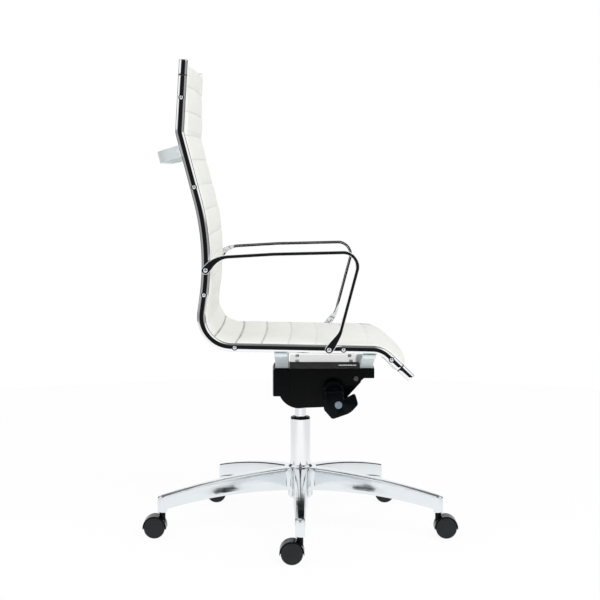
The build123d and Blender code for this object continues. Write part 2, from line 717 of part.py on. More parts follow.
def upper_shell():
    """Moving half of the mechanism: a roof with two cheeks that hang outside the casting."""
    shell = across(shell_profile(), -SHELL_OUTER_Y, SHELL_OUTER_Y)
    room = outline(
        (SHELL_BACK_X - PAST, SHELL_TOP - SHELL_WALL),
        (SHELL_BACK_X - PAST, CASTING_BELLY_Z),
        (PIVOT_X + PIVOT_EAR_R + SHELL_SIDE_GAP, CASTING_BELLY_Z),
        (PIVOT_X + PIVOT_EAR_R + SHELL_SIDE_GAP, SHELL_TOP - SHELL_WALL),
    )
    shell -= across(room, -SHELL_INNER_Y, SHELL_INNER_Y)
    reach = SHELL_OUTER_Y + PAST
    shell -= rod_y(ARCH_R, -reach, reach, LEVER_X, LEVER_Z)
    shell -= rod_y(PIVOT_BUSH_R + SNUG, -reach, reach, PIVOT_X, PIVOT_Z)
    for bolt_x in brace_centres():
        for y in (-BRACE_BOLT_Y, BRACE_BOLT_Y):
            shell -= disc(BRACE_BOLT_R + SNUG, SHELL_TOP - SHELL_NOSE_H, SHELL_TOP + PAST, bolt_x, y)
    for x in PLATE_SCREW_XS:
        for y in (-PLATE_SCREW_Y, PLATE_SCREW_Y):
            shell -= disc(BRACE_SCREW_R + SNUG, SHELL_TOP - SHELL_WALL - PAST, SHELL_TOP + PAST, x, y)
    return shell


def pivot_bush():
    """Flanged plastic bush between a cheek and the pivot pin, on the +Y side."""
    inner_y = CASTING_HALF_WIDTH + BODY_GAP
    sleeve = rod_y(PIVOT_BUSH_R, inner_y, SHELL_OUTER_Y, PIVOT_X, PIVOT_Z)
    flange = rod_y(PIVOT_BUSH_R + PIVOT_FLANGE, inner_y, SHELL_INNER_Y, PIVOT_X, PIVOT_Z)
    bore = rod_y(PIVOT_PIN_R + RUNNING, inner_y - PAST, SHELL_OUTER_Y + PAST, PIVOT_X, PIVOT_Z)
    return sleeve + flange - bore


def rear_cover():
    """Moulded cover round the back of the shell."""
    inner_y = SHELL_OUTER_Y + REAR_COVER_PLAY
    back_x = SHELL_BACK_X - REAR_COVER_PLAY
    foot = SHELL_SKIRT_BACK_Z
    top = SHELL_TOP - SEAT_PLATE_GAUGE

    def bowed(grow):
        """Plan of the cover with a gently bowed back, grown by the wall."""
        half = inner_y + grow
        back = back_x - grow
        bow = ThreePointArc((back, -half), (back - REAR_COVER_BULGE, 0), (back, half))
        rest = Polyline((back, half), (COVER_FRONT_X, half), (COVER_FRONT_X, -half), (back, -half))
        return make_face([bow, *rest.edges()])

    cover = Pos(0, 0, foot) * extrude(bowed(REAR_COVER_WALL), top - foot)
    corners = cover.edges().filter_by(Axis.Z).group_by(Axis.X)[0]
    cover = fillet(corners, 2 * REAR_COVER_WALL)
    hollow = Pos(0, 0, foot - PAST) * extrude(bowed(0.0), top - foot + 2 * PAST)
    return cover - hollow - Pos(COVER_FRONT_X, 0, foot) * Box(2 * PAST, 2 * inner_y, FAR)


def seat_plate():
    """Folded steel channel on the shell, between the two seat braces, with slotted flanges."""
    half = PLATE_OUTER_Y
    inner = half - SEAT_PLATE_GAUGE
    profile = outline(
        (-half, SHELL_TOP),
        (-half, PLATE_TOP),
        (half, PLATE_TOP),
        (half, SHELL_TOP),
        (inner, SHELL_TOP),
        (inner, PLATE_TOP - SEAT_PLATE_GAUGE),
        (-inner, PLATE_TOP - SEAT_PLATE_GAUGE),
        (-inner, SHELL_TOP),
    )
    length = SEAT_PLATE_FRONT_X - SEAT_PLATE_BACK_X
    plate = extrude(front_plane(SEAT_PLATE_BACK_X) * profile, length)
    slot = SlotOverall(SLOT_LENGTH, SLOT_H)
    slot_z = SHELL_TOP + SEAT_PLATE_H / 2
    plate -= across(Pos(SLOT_CENTRE_X, slot_z) * slot, -half - PAST, half + PAST)
    for x in PLATE_SCREW_XS:
        for y in (-PLATE_SCREW_Y, PLATE_SCREW_Y):
            plate += disc(2 * BRACE_SCREW_R, SHELL_TOP, PLATE_TOP, x, y)
            plate -= disc(BRACE_SCREW_R + SNUG, SHELL_TOP - PAST, PLATE_TOP + PAST, x, y)
    return plate


def plate_screws():
    """Four screws down through the seat plate into the shell."""
    return [
        disc(BRACE_SCREW_R, SHELL_TOP - SHELL_WALL, PLATE_TOP, x, y)
        + disc(BRACE_SCREW_HEAD_R, PLATE_TOP, PLATE_TOP + BRACE_SCREW_HEAD_H, x, y)
        for x in PLATE_SCREW_XS
        for y in (-PLATE_SCREW_Y, PLATE_SCREW_Y)
    ]


# ================================================================ lever, rocker and knob
def release_rocker():
    """Rocker whose back end presses the valve pin when the lever's cam lifts its front end."""
    half = ROCKER_WIDTH / 2
    bar = outline(
        (ROCKER_BACK_X, ROCKER_Z),
        (ROCKER_FRONT_X, ROCKER_Z),
        (ROCKER_FRONT_X, ROCKER_Z + ROCKER_H),
        (ROCKER_BACK_X, ROCKER_Z + ROCKER_H),
    )
    rocker = across(bar, -half, half)
    bore_r = ROCKER_PIN_THIN_R + RUNNING
    return rocker - rod_y(bore_r, -half - PAST, half + PAST, ROCKER_PIN_X, rocker_pin_z())


def rocker_pin():
    """Stepped pin that the rocker swings on, held in the casting's ears."""
    half = ROCKER_WIDTH / 2
    ear_half = half + ROCKER_EAR_WALL
    gap = half + BODY_GAP
    middle = rod_y(ROCKER_PIN_THIN_R, -gap, gap, ROCKER_PIN_X, rocker_pin_z())
    ends = [
        rod_y(ROCKER_PIN_R, low, high, ROCKER_PIN_X, rocker_pin_z())
        for low, high in ((-ear_half, -gap), (gap, ear_half))
    ]
    return middle + ends[0] + ends[1]


def lever_shaft():
    """Steel shaft along Y with a flat cam on its inner end, under the rocker's front."""
    shaft = rod_y(LEVER_SHAFT_R, PADDLE_OUTER_Y + PADDLE_END_WALL, ROCKER_WIDTH / 2, LEVER_X, LEVER_Z)
    cam_top = ROCKER_Z - BODY_GAP - LEVER_CAM_GAP
    cam = outline(
        (LEVER_X, LEVER_Z - LEVER_SHAFT_R),
        (LEVER_X + LEVER_CAM_REACH, cam_top - LEVER_CAM_H),
        (LEVER_X + LEVER_CAM_REACH, cam_top),
        (LEVER_X, LEVER_Z + LEVER_SHAFT_R),
    )
    return shaft + across(cam, LEVER_INNER_Y, ROCKER_WIDTH / 2)


def paddle_profile():
    """Side view of the lever's paddle round its shaft: a flat top, a horn in front and a round foot."""
    corners = [(LEVER_X + forward, LEVER_Z + up) for forward, up in PADDLE_CORNERS]
    return make_face(FilletPolyline(*corners, radius=list(PADDLE_BENDS), close=True).edges())


def lever_paddle():
    """Moulded paddle pressed on the shaft, with a neck behind it and a pocket for the button."""
    blade = across(paddle_profile(), PADDLE_OUTER_Y, PADDLE_INNER_Y)
    blade = chamfer(blade.faces().sort_by(Axis.Y)[0].outer_wire().edges(), PADDLE_EDGE_R)
    neck = rod_y(PADDLE_NECK_R, PADDLE_INNER_Y, KNOB_OUTER_Y - BODY_GAP, LEVER_X, LEVER_Z)
    blade += neck
    blade -= rod_y(LEVER_SHAFT_R + SNUG, PADDLE_OUTER_Y + PADDLE_END_WALL, 0, LEVER_X, LEVER_Z)
    pocket_floor = PADDLE_OUTER_Y - BUTTON_PROUD + BUTTON_LENGTH + BUTTON_TRAVEL + BODY_GAP
    return blade - rod_y(BUTTON_R + RUNNING, PADDLE_OUTER_Y - PAST, pocket_floor, *button_centre())


def button_centre():
    """Button axis, as (x, z)."""
    return LEVER_X + BUTTON_FORWARD, LEVER_Z - BUTTON_BELOW


def lever_button():
    """Round push button in the paddle."""
    outer_y = PADDLE_OUTER_Y - BUTTON_PROUD
    button = rod_y(BUTTON_R, outer_y, outer_y + BUTTON_LENGTH, *button_centre())
    rim = button.edges().filter_by(GeomType.CIRCLE).sort_by(Axis.Y)[0]
    return chamfer(rim, BUTTON_EDGE)


def tension_knob():
    """Grooved knob with a hollow spindle that the lever's shaft runs through."""
    grip = rod_y(KNOB_R, KNOB_OUTER_Y, KNOB_INNER_Y, LEVER_X, LEVER_Z)
    grip = chamfer(grip.edges().filter_by(GeomType.CIRCLE).sort_by(Axis.Y)[0], KNOB_EDGE)
    for index in range(KNOB_GRIP_COUNT):
        angle = 2 * pi * index / KNOB_GRIP_COUNT
        x = LEVER_X + KNOB_R * cos(angle)
        z = LEVER_Z + KNOB_R * sin(angle)
        grip -= rod_y(KNOB_GRIP_R, KNOB_OUTER_Y - PAST, KNOB_INNER_Y + PAST, x, z)
    spindle_end = -CASTING_HALF_WIDTH + CASTING_WALL + KNOB_SPINDLE_LAP
    grip += rod_y(KNOB_SPINDLE_R, KNOB_INNER_Y, spindle_end, LEVER_X, LEVER_Z)
    bore = rod_y(LEVER_SHAFT_R + RUNNING, KNOB_OUTER_Y - PAST, spindle_end + PAST, LEVER_X, LEVER_Z)
    return grip - bore


# ================================================================ rails, caps and screws
def rail_line():
    """Centreline of a side rail, from its top end to its front end, in the side view."""
    corners = [RAIL_TOP, RAIL_NECK, RAIL_LUMBAR, RAIL_HIP, RAIL_KNEE, RAIL_TOE]
    return FilletPolyline(*corners, radius=list(RAIL_BENDS))


RAIL_LINE = rail_line()
RAIL_LENGTH = RAIL_LINE.length


def rail_frame(station, lateral=0.0):
    """Plane square to the rail at a distance along it: sketch X is outward to the sitter."""
    share = station / RAIL_LENGTH
    spot = RAIL_LINE @ share
    run = RAIL_LINE % share
    ahead = Vector(run.X, 0, run.Y)
    return Plane(origin=(spot.X, lateral, spot.Y), x_dir=(-run.Y, 0, run.X), z_dir=ahead)


def rail_point(station, proud=0.0):
    """Side-view point (x, z) at a distance along the rail, moved `proud` towards the sitter."""
    frame = rail_frame(station)
    spot = frame.origin + frame.x_dir * proud
    return spot.X, spot.Z


def rail_span(start, end):
    """The rail's centreline between two distances, as a path in space."""
    part = RAIL_LINE.trim(start / RAIL_LENGTH, end / RAIL_LENGTH)
    return Wire((side_plane() * part).edges())


def rail_section(shrink=0.0):
    """Rounded section of the rail tube."""
    round_r = RAIL_ROUND - shrink
    return RectangleRounded(RAIL_DEPTH - 2 * shrink, RAIL_WIDTH - 2 * shrink, round_r)


def rail_tube():
    """Bent oval tube of the left side rail, between its two end caps, with its screw holes."""
    path = rail_span(CAP_LENGTH, RAIL_LENGTH - CAP_LENGTH)
    frame = rail_frame(CAP_LENGTH)
    tube = sweep(frame * rail_section(), path=path)
    tube -= sweep(frame * rail_section(RAIL_WALL), path=path)
    tube = Pos(0, RAIL_Y, 0) * tube
    for x, z in screw_points():
        tube -= rod_y(SCREW_SHANK_R + SNUG, RAIL_Y, RAIL_OUTER_Y + PAST, x, z)
    for x, z in arm_eye_points():
        tube -= rod_y(SCREW_SHANK_R + SNUG, RAIL_Y, RAIL_OUTER_Y + PAST, x, z)
    return tube


def screw_points():
    """Side-view places of the screws that hold the sling's edge to the rail."""
    return [rail_point(station) for station in RAIL_SCREW_STATIONS]


def arm_eye_points():
    """Side-view places of the two screws that hold an arm."""
    return [rail_point(ARM_REAR_STATION), rail_point(ARM_FRONT_STATION)]


def rail_cap(station, onward):
    """End cap of the left rail at a seam, with a spigot inside the tube."""
    seam = rail_frame(station, RAIL_Y)
    body = extrude(seam * rail_section(), onward * CAP_LENGTH)
    end_face = body.faces().sort_by(lambda f: (f.center() - seam.origin).length)[-1]
    body = fillet(end_face.edges(), CAP_END_R)
    return body + extrude(seam * rail_section(RAIL_WALL + SNUG), -onward * CAP_SPIGOT)


def rail_caps():
    """The four end caps."""
    left = [rail_cap(CAP_LENGTH, -1), rail_cap(RAIL_LENGTH - CAP_LENGTH, 1)]
    return left + [mirrored(cap) for cap in left]


def side_screw(x, z, seat_y):
    """Domed screw along Y with its head's flat on `seat_y`, for the left side."""
    rise = SCREW_HEAD_H
    ball_r = (SCREW_HEAD_R**2 + rise**2) / (2 * rise)
    ball = Pos(x, seat_y + rise - ball_r, z) * Sphere(ball_r)
    head = ball & rod_y(SCREW_HEAD_R + PAST, seat_y, seat_y + rise + PAST, x, z)
    return head + rod_y(SCREW_SHANK_R, RAIL_OUTER_Y - SCREW_DEPTH, seat_y, x, z)


def sling():
    """Padded sling from the top of the back to the front of the seat, between the rails."""
    start = SLING_TOP_STATION
    end = RAIL_LENGTH - CAP_LENGTH + SLING_FRONT_OVERLAP
    depth = SLING_REAR_DEPTH + SLING_FRONT_DEPTH
    shift = (SLING_FRONT_DEPTH - SLING_REAR_DEPTH) / 2
    section = rail_frame(start) * (Pos(shift, 0) * Rectangle(depth, 2 * SLING_HALF_WIDTH))
    return sweep(section, path=rail_span(start, end))


# ================================================================ arms
def arm_profile():
    """Side view of an arm: a thin bar that ends in two round eyes."""
    rear, front = arm_eye_points()
    line = FilletPolyline(rear, ARM_KNEE, ARM_MIDDLE, ARM_CORNER, ARM_SHIN, front, radius=list(ARM_BENDS))
    bar = make_face(offset(Wire(line.edges()), amount=ARM_BAR / 2, side=Side.BOTH).edges())
    eyes = [Pos(*spot) * Circle(ARM_EYE_R) for spot in (rear, front)]
    return bar + eyes


def arm():
    """Left arm: a loop of flat bar with a plane outer face, wide along the top and thin at its eyes."""
    high_y = ARM_EYE_INNER_Y + ARM_EYE_WIDTH
    low_y = high_y - ARM_TOP_WIDTH
    loop = across(arm_profile(), low_y, high_y)
    rear, front = arm_eye_points()
    split_x = (rear[0] + front[0]) / 2
    front_half = extrude(front_plane(split_x) * arm_front_profile(front[1]), FAR)
    rear_half = Pos(0, 0, ARM_KNEE[1] - FAR / 2) * extrude(arm_rear_plan(rear[0], split_x), FAR)
    body = loop & (front_half + rear_half)
    for x, z in (rear, front):
        body -= rod_y(SCREW_SHANK_R + SNUG, low_y - PAST, high_y + PAST, x, z)
    return body


def arm_front_profile(eye_z):
    """Front view that an arm's front leg keeps to: thin past the rail and wider inward above it."""
    eye_low = ARM_EYE_INNER_Y
    eye_high = ARM_EYE_INNER_Y + ARM_EYE_WIDTH
    wide_low = eye_high - ARM_TOP_WIDTH
    flare_z = eye_z + RAIL_HALF_DEPTH + ARM_FLARE_GAP
    top_z = RAIL_TOP[1]
    return outline(
        (eye_low, eye_z - 2 * ARM_EYE_R),
        (eye_high, eye_z - 2 * ARM_EYE_R),
        (eye_high, top_z),
        (wide_low, top_z),
        (wide_low, flare_z + ARM_FLARE_H),
        (eye_low, flare_z),
    )


def arm_rear_plan(eye_x, end_x):
    """Plan view that an arm's rear half keeps to: thin beside the rail and wider inward before it."""
    eye_low = ARM_EYE_INNER_Y
    eye_high = ARM_EYE_INNER_Y + ARM_EYE_WIDTH
    wide_low = eye_high - ARM_TOP_WIDTH
    return outline(
        (eye_x - 2 * ARM_EYE_R, eye_low),
        (ARM_WIDEN_X, eye_low),
        (ARM_WIDEN_X + ARM_FLARE_X, wide_low),
        (end_x, wide_low),
        (end_x, eye_high),
        (eye_x - 2 * ARM_EYE_R, eye_high),
    )


# ================================================================ braces
def brace_centres():
    """X of the rear and front seat braces."""
    return [rail_point(station)[0] for station in (BRACE_REAR_STATION, BRACE_FRONT_STATION)]


def seat_brace(station):
    """Bowed strap under the seat: flat on the shell, and up to a pad under each rail."""
    centre_x = rail_point(station)[0]
    half = BRACE_GAUGE / 2
    low = SHELL_TOP + half
    high = brace_pad_top(station) - half
    pad_end = RAIL_Y + BRACE_PAD / 2
    corners = [
        (-pad_end, high),
        (-BRACE_SHOULDER_Y, high),
        (-BRACE_FLAT_HALF, low),
        (BRACE_FLAT_HALF, low),
        (BRACE_SHOULDER_Y, high),
        (pad_end, high),
    ]
    bends = [BRACE_BEND_R / 2, BRACE_BEND_R, BRACE_BEND_R, BRACE_BEND_R / 2]
    line = FilletPolyline(*corners, radius=bends)
    start_x = centre_x - BRACE_LENGTH_X / 2
    face = make_face(offset(Wire(line.edges()), amount=half, side=Side.BOTH).edges())
    strap = extrude(front_plane(start_x) * face, BRACE_LENGTH_X)
    for y in (-BRACE_BOLT_Y, BRACE_BOLT_Y):
        strap -= disc(BRACE_BOLT_R + SNUG, low - BRACE_GAUGE, low + BRACE_GAUGE, centre_x, y)
    for y in (-RAIL_Y, RAIL_Y):
        strap -= disc(BRACE_SCREW_R + SNUG, high - BRACE_GAUGE, high + BRACE_GAUGE, centre_x, y)
    return strap


def brace_pad_top(station):
    """Top of a brace's pads, just under the lowest part of the rail above them."""
    reach = BRACE_LENGTH_X / 2
    edges = [rail_point(station + step, -RAIL_HALF_DEPTH)[1] for step in (-reach, 0.0, reach)]
    return min(edges) - BODY_GAP


def brace_bolts():
    """Bolts down through the braces into the shell."""
    top = SHELL_TOP + BRACE_GAUGE
    foot = SHELL_TOP - SHELL_WALL
    bolts = []
    for x in brace_centres():
        for y in (-BRACE_BOLT_Y, BRACE_BOLT_Y):
            shank = disc(BRACE_BOLT_R, foot, top, x, y)
            head = disc(BRACE_BOLT_HEAD_R, top, top + BRACE_BOLT_HEAD_H, x, y)
            head = chamfer(head.edges().filter_by(GeomType.CIRCLE).sort_by(Axis.Z)[-1], BRACE_BOLT_EDGE)
            bolts.append(shank + head)
    return bolts


def brace_screws():
    """Screws up through the brace pads, seen from below, with their shanks in the rail's wall."""
    screws = []
    for station in (BRACE_REAR_STATION, BRACE_FRONT_STATION):
        x = rail_point(station)[0]
        pad_top = brace_pad_top(station)
        pad_foot = pad_top - BRACE_GAUGE
        for y in (-RAIL_Y, RAIL_Y):
            shank = disc(BRACE_SCREW_R, pad_foot, pad_top, x, y)
            head = disc(BRACE_SCREW_HEAD_R, pad_foot - BRACE_SCREW_HEAD_H, pad_foot, x, y)
            screws.append(shank + head)
    return screws


def back_brace():
    """Bowed strap behind the back, screwed to the rear faces of both rails."""
    half_gauge = BACK_BRACE_GAUGE / 2
    tab = RAIL_HALF_DEPTH + half_gauge
    deep = tab + BACK_BRACE_DEPTH
    tab_start = RAIL_OUTER_Y - BACK_BRACE_TAB
    corners = [
        (-RAIL_OUTER_Y, -tab),
        (-tab_start, -tab),
        (-BACK_BRACE_SHOULDER_Y, -deep),
        (BACK_BRACE_SHOULDER_Y, -deep),
        (tab_start, -tab),
        (RAIL_OUTER_Y, -tab),
    ]
    bends = [BACK_BRACE_TAB_R, BACK_BRACE_BEND_R, BACK_BRACE_BEND_R, BACK_BRACE_TAB_R]
    line = FilletPolyline(*corners, radius=bends)
    face = make_face(offset(Wire(line.edges()), amount=half_gauge, side=Side.BOTH).edges())
    strap = extrude(brace_sketch_plane() * face, BACK_BRACE_HEIGHT / 2, both=True)
    for y in (-RAIL_Y, RAIL_Y):
        strap -= back_screw_hole(y)
    return strap


def brace_sketch_plane():
    """Plane square to the rail: sketch X is +Y, and sketch Y points to the sitter."""
    frame = rail_frame(BACK_BRACE_STATION)
    normal = Vector(0, 1, 0).cross(frame.x_dir)
    return Plane(origin=frame.origin, x_dir=(0, 1, 0), z_dir=normal)


def back_screw_axis(y):
    """Plane on the rear face of the back brace's tab, looking to the rear."""
    frame = rail_frame(BACK_BRACE_STATION, y)
    seat = frame.origin - frame.x_dir * (RAIL_HALF_DEPTH + BACK_BRACE_GAUGE)
    return Plane(origin=seat, z_dir=frame.x_dir * -1)


def back_screw_hole(y):
    """Clearance hole through the tab."""
    hole = back_screw_axis(y) * Circle(BRACE_SCREW_R + SNUG)
    return extrude(hole, BACK_BRACE_GAUGE + PAST, both=True)


def back_brace_screws():
    """Two screws from behind through the tabs."""
    screws = []
    for y in (-RAIL_Y, RAIL_Y):
        seat = back_screw_axis(y)
        head = extrude(seat * Circle(BRACE_SCREW_HEAD_R), BRACE_SCREW_HEAD_H)
        shank = extrude(seat * Circle(BRACE_SCREW_R), -BACK_BRACE_GAUGE)
        screws.append(head + shank)
    return screws


# ================================================================ build every node
def build_base():
    """Star base, stand tube and the fixed side of the thrust bearing."""
    save("star_base", star_base())
    save("column_stand_tube", column_stand_tube())
    save("guide_bush", guide_bush())
    plate_r = STAND_NOSE_BORE_R - SNUG
    save("tube_end_plate", ring(plate_r, ROD_JOURNAL_R + RUNNING, END_PLATE_Z, LOWER_RACE_Z))
    save("bearing_lower_race", ring(RACE_R, ROD_JOURNAL_R + RUNNING, LOWER_RACE_Z, LOWER_RACE_Z + RACE_H))
    save("bearing_balls", *thrust_balls())


def build_rod():
    """Piston rod and what turns with it."""
    save("piston_rod", piston_rod())
    save("piston", ring(CYLINDER_BORE_R - RUNNING, ROD_JOURNAL_R + SNUG, ROD_TOP - PISTON_H, ROD_TOP))
    save("rod_clip", ring(CLIP_R, CLIP_GROOVE_R + SNUG, CLIP_Z, CLIP_Z + CLIP_H))
    save("bearing_upper_race", ring(RACE_R, ROD_JOURNAL_R + SNUG, UPPER_RACE_Z, ROD_SHOULDER_Z))
    save("rod_bumper", ring(BUMPER_R, ROD_R + SNUG, ROD_SHOULDER_Z + RUNNING, ROD_SHOULDER_Z + BUMPER_H))


def build_mechanism():
    """Gas cylinder, tilt mechanism and its controls."""
    save("gas_cylinder", gas_cylinder())
    seal_top = CYLINDER_FOOT + SEAL_H
    save("cylinder_seal", ring(CYLINDER_BORE_R - SNUG, ROD_R + RUNNING, CYLINDER_FOOT, seal_top))
    pin_foot = CYLINDER_TOP - RELEASE_PIN_DOWN
    save("release_pin", disc(RELEASE_PIN_R, pin_foot, CYLINDER_TOP + RELEASE_PIN_UP))
    save("lower_casting", lower_casting())
    pin_half = SHELL_OUTER_Y + PIVOT_PIN_PROUD
    save("tilt_pivot_pin", rod_y(PIVOT_PIN_R, -pin_half, pin_half, PIVOT_X, PIVOT_Z))
    save("tilt_springs", *tilt_springs())
    save("rocker_pin", rocker_pin())
    save("release_rocker", release_rocker())
    save("lever_shaft", lever_shaft())
    save("lever_paddle", lever_paddle())
    save("lever_button", lever_button())
    save("tension_knob", tension_knob())
    save("upper_shell", upper_shell())
    save("pivot_bushes", *both_sides(pivot_bush()))
    save("rear_cover", rear_cover())
    save("seat_plate", seat_plate())


def build_seat():
    """Rails, sling, arms and braces."""
    tube = rail_tube()
    save("rail_left", tube)
    save("rail_right", mirrored(tube))
    save("rail_caps", *rail_caps())
    screws = [side_screw(x, z, RAIL_OUTER_Y) for x, z in screw_points()]
    save("rail_screws", *screws, *[mirrored(screw) for screw in screws])
    save("sling", sling())
    left_arm = arm()
    save("arm_left", left_arm)
    save("arm_right", mirrored(left_arm))
    arm_face = ARM_EYE_INNER_Y + ARM_EYE_WIDTH
    bolts = [side_screw(x, z, arm_face) for x, z in arm_eye_points()]
    save("arm_screws", *bolts, *[mirrored(bolt) for bolt in bolts])
    save("rear_seat_brace", seat_brace(BRACE_REAR_STATION))
    save("front_seat_brace", seat_brace(BRACE_FRONT_STATION))
    save("back_brace", back_brace())
    save("brace_bolts", *brace_bolts())
    save("frame_screws", *plate_screws(), *brace_screws(), *back_brace_screws())


def build_casters():
    """Five swivel casters with two wheels each."""
    housing = caster_housing()
    pins = caster_pins()
    wheels = {"left": caster_wheel(1), "right": caster_wheel(-1)}
    for index, ((x, y), heading) in enumerate(zip(leg_tips(), caster_headings()), start=1):
        place = Pos(x, y, 0) * Rot(Z=heading)
        save(f"caster_{index}_housing", place * housing)
        save(f"caster_{index}_pins", *[place * pin for pin in pins])
        for side, wheel in wheels.items():
            save(f"caster_{index}_wheel_{side}", place * wheel)


build_base()
build_rod()
build_mechanism()
build_seat()
build_casters()
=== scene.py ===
"""Looks of a swivel office chair: ribbed ivory sling, chrome side rails and arms, knee-tilt
mechanism, polished five-leg base and twin-wheel casters.

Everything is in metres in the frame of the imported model: +Z up from the floor, +X where the
sitter faces, +Y to the sitter's left, and the origin on the floor under the gas column.
"""

import json
import logging
import math
from dataclasses import dataclass, field
from enum import Enum

import bmesh
import bpy
import numpy as np
from mathutils.kdtree import KDTree
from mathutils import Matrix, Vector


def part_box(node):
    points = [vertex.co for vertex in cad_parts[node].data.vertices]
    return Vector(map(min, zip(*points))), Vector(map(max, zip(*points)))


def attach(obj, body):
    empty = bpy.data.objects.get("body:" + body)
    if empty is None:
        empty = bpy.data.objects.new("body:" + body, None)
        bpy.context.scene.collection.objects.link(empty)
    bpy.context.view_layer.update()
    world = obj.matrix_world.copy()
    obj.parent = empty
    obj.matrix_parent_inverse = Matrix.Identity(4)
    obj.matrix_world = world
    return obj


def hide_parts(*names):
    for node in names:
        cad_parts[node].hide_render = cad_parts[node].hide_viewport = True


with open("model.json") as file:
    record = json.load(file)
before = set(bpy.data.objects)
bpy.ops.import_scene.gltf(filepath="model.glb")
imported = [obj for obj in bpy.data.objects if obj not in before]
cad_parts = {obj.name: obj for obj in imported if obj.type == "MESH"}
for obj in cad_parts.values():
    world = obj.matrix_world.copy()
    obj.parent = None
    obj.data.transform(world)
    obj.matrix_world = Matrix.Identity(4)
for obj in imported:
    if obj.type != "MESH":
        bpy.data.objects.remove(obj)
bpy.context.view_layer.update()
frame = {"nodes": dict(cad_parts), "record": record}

LOG = logging.getLogger("office_chair")

Pair = tuple[float, float]
Triple = tuple[float, float, float]
Socket = bpy.types.NodeSocket


class Side(Enum):
    """Side of the chair, as the sign of Y."""

    LEFT = 1.0
    RIGHT = -1.0


# ------------------------------------------------------------------ surfaces
@dataclass
class Surface:
    """A mesh in the making.

    Attributes:
        points: Points as (n, 3).
        faces: Four-cornered faces as (m, 4) numbers of points.
    """

    points: np.ndarray
    faces: np.ndarray

    def joined(self, *others: "Surface") -> "Surface":
        """Put several surfaces into one.

        Args:
            others: Surfaces to add after this one.

        Returns:
            One surface that holds them all.
        """
        parts = [self, *others]
        counts = np.cumsum([0] + [len(part.points) for part in parts[:-1]])
        faces = [part.faces + count for part, count in zip(parts, counts)]
        return Surface(np.vstack([part.points for part in parts]), np.vstack(faces))

    def mirrored(self) -> "Surface":
        """The same surface on the other side of the chair."""
        return Surface(self.points * np.array([1.0, -1.0, 1.0]), self.faces[:, ::-1])

    def paired(self) -> "Surface":
        """The surface and its mirror image in one."""
        return self.joined(self.mirrored())

    def moved(self, offset: Triple) -> "Surface":
        """The same surface, shifted by an offset."""
        return Surface(self.points + np.array(offset), self.faces)

    def copied(self, offsets: np.ndarray) -> "Surface":
        """Copies of the surface in one, each shifted by one of several offsets."""
        first, *others = [self.moved(offset) for offset in offsets]
        return first.joined(*others)

    def on(self, side: Side) -> "Surface":
        """The surface as made for the left side, or its mirror image for the right side."""
        return self if side is Side.LEFT else self.mirrored()


def grid(rings: np.ndarray) -> Surface:
    """Faces between neighbouring points of a stack of closed rings.

    Args:
        rings: Rings of points, as (rings, points in a ring, 3).

    Returns:
        The surface.
    """
    rows, columns = rings.shape[:2]
    index = np.arange(rows * columns).reshape(rows, columns)
    index = np.hstack([index, index[:, :1]])
    corners = [index[:-1, :-1], index[1:, :-1], index[1:, 1:], index[:-1, 1:]]
    return Surface(rings.reshape(-1, 3), np.stack(corners, axis=-1).reshape(-1, 4))


def smoothstep(share: np.ndarray) -> np.ndarray:
    """Share from 0 to 1 eased at both ends: 3 s^2 - 2 s^3."""
    return share * share * (3 - 2 * share)


def quarter_turn(runs: np.ndarray) -> np.ndarray:
    """Directions in a plane, turned a quarter turn to the left."""
    return np.stack([-runs[..., 1], runs[..., 0]], axis=-1)


def closed_tube(rings: np.ndarray) -> Surface:
    """Skin over a stack of closed rings, with both ends drawn to their middle.

    Args:
        rings: Rings of points, as (rings, points in a ring, 3).

    Returns:
        The closed surface.
    """
    first = np.broadcast_to(rings[:1].mean(axis=1, keepdims=True), rings[:1].shape)
    last = np.broadcast_to(rings[-1:].mean(axis=1, keepdims=True), rings[-1:].shape)
    return grid(np.concatenate([first, rings, last]))


def rounded_rectangle(
    width: np.ndarray, height: np.ndarray, radius: np.ndarray, per_corner: int
) -> np.ndarray:
    """Outline of a rounded rectangle: four quarter circles joined by straight sides.

    Each point is a corner's centre plus the radius in the direction of its angle.

    Args:
        width: Size along the first axis, one for each ring.
        height: Size along the second axis, one for each ring.
        radius: Corner radius, one for each ring.
        per_corner: Points on each quarter circle.

    Returns:
        Points as (rings, 4 * per_corner, 2).
    """
    quarter = np.linspace(0.0, math.pi / 2, per_corner)
    angles = np.concatenate([quarter + turn * math.pi / 2 for turn in range(4)])
    sign_u = np.repeat([1.0, -1.0, -1.0, 1.0], per_corner)
    sign_v = np.repeat([1.0, 1.0, -1.0, -1.0], per_corner)
    width, height, radius = (np.atleast_1d(size)[:, None] for size in (width, height, radius))
    u = sign_u * (width / 2 - radius) + radius * np.cos(angles)
    v = sign_v * (height / 2 - radius) + radius * np.sin(angles)
    return np.stack([u, v], axis=-1)


def lathe(profile: list[Pair], segments: int) -> Surface:
    """Surface of revolution about Z: each profile point turns on a circle of its own radius.

    Args:
        profile: (radius, height) points from one end on the axis to the other.
        segments: Steps round the circle.

    Returns:
        The surface.
    """
    turn = np.linspace(0.0, 2 * math.pi, segments, endpoint=False)
    radius, height = supported(profile).T
    rings = np.stack(
        [
            radius[:, None] * np.cos(turn),
            radius[:, None] * np.sin(turn),
            np.broadcast_to(height[:, None], (len(height), segments)),
        ],
        axis=-1,
    )
    return grid(rings)


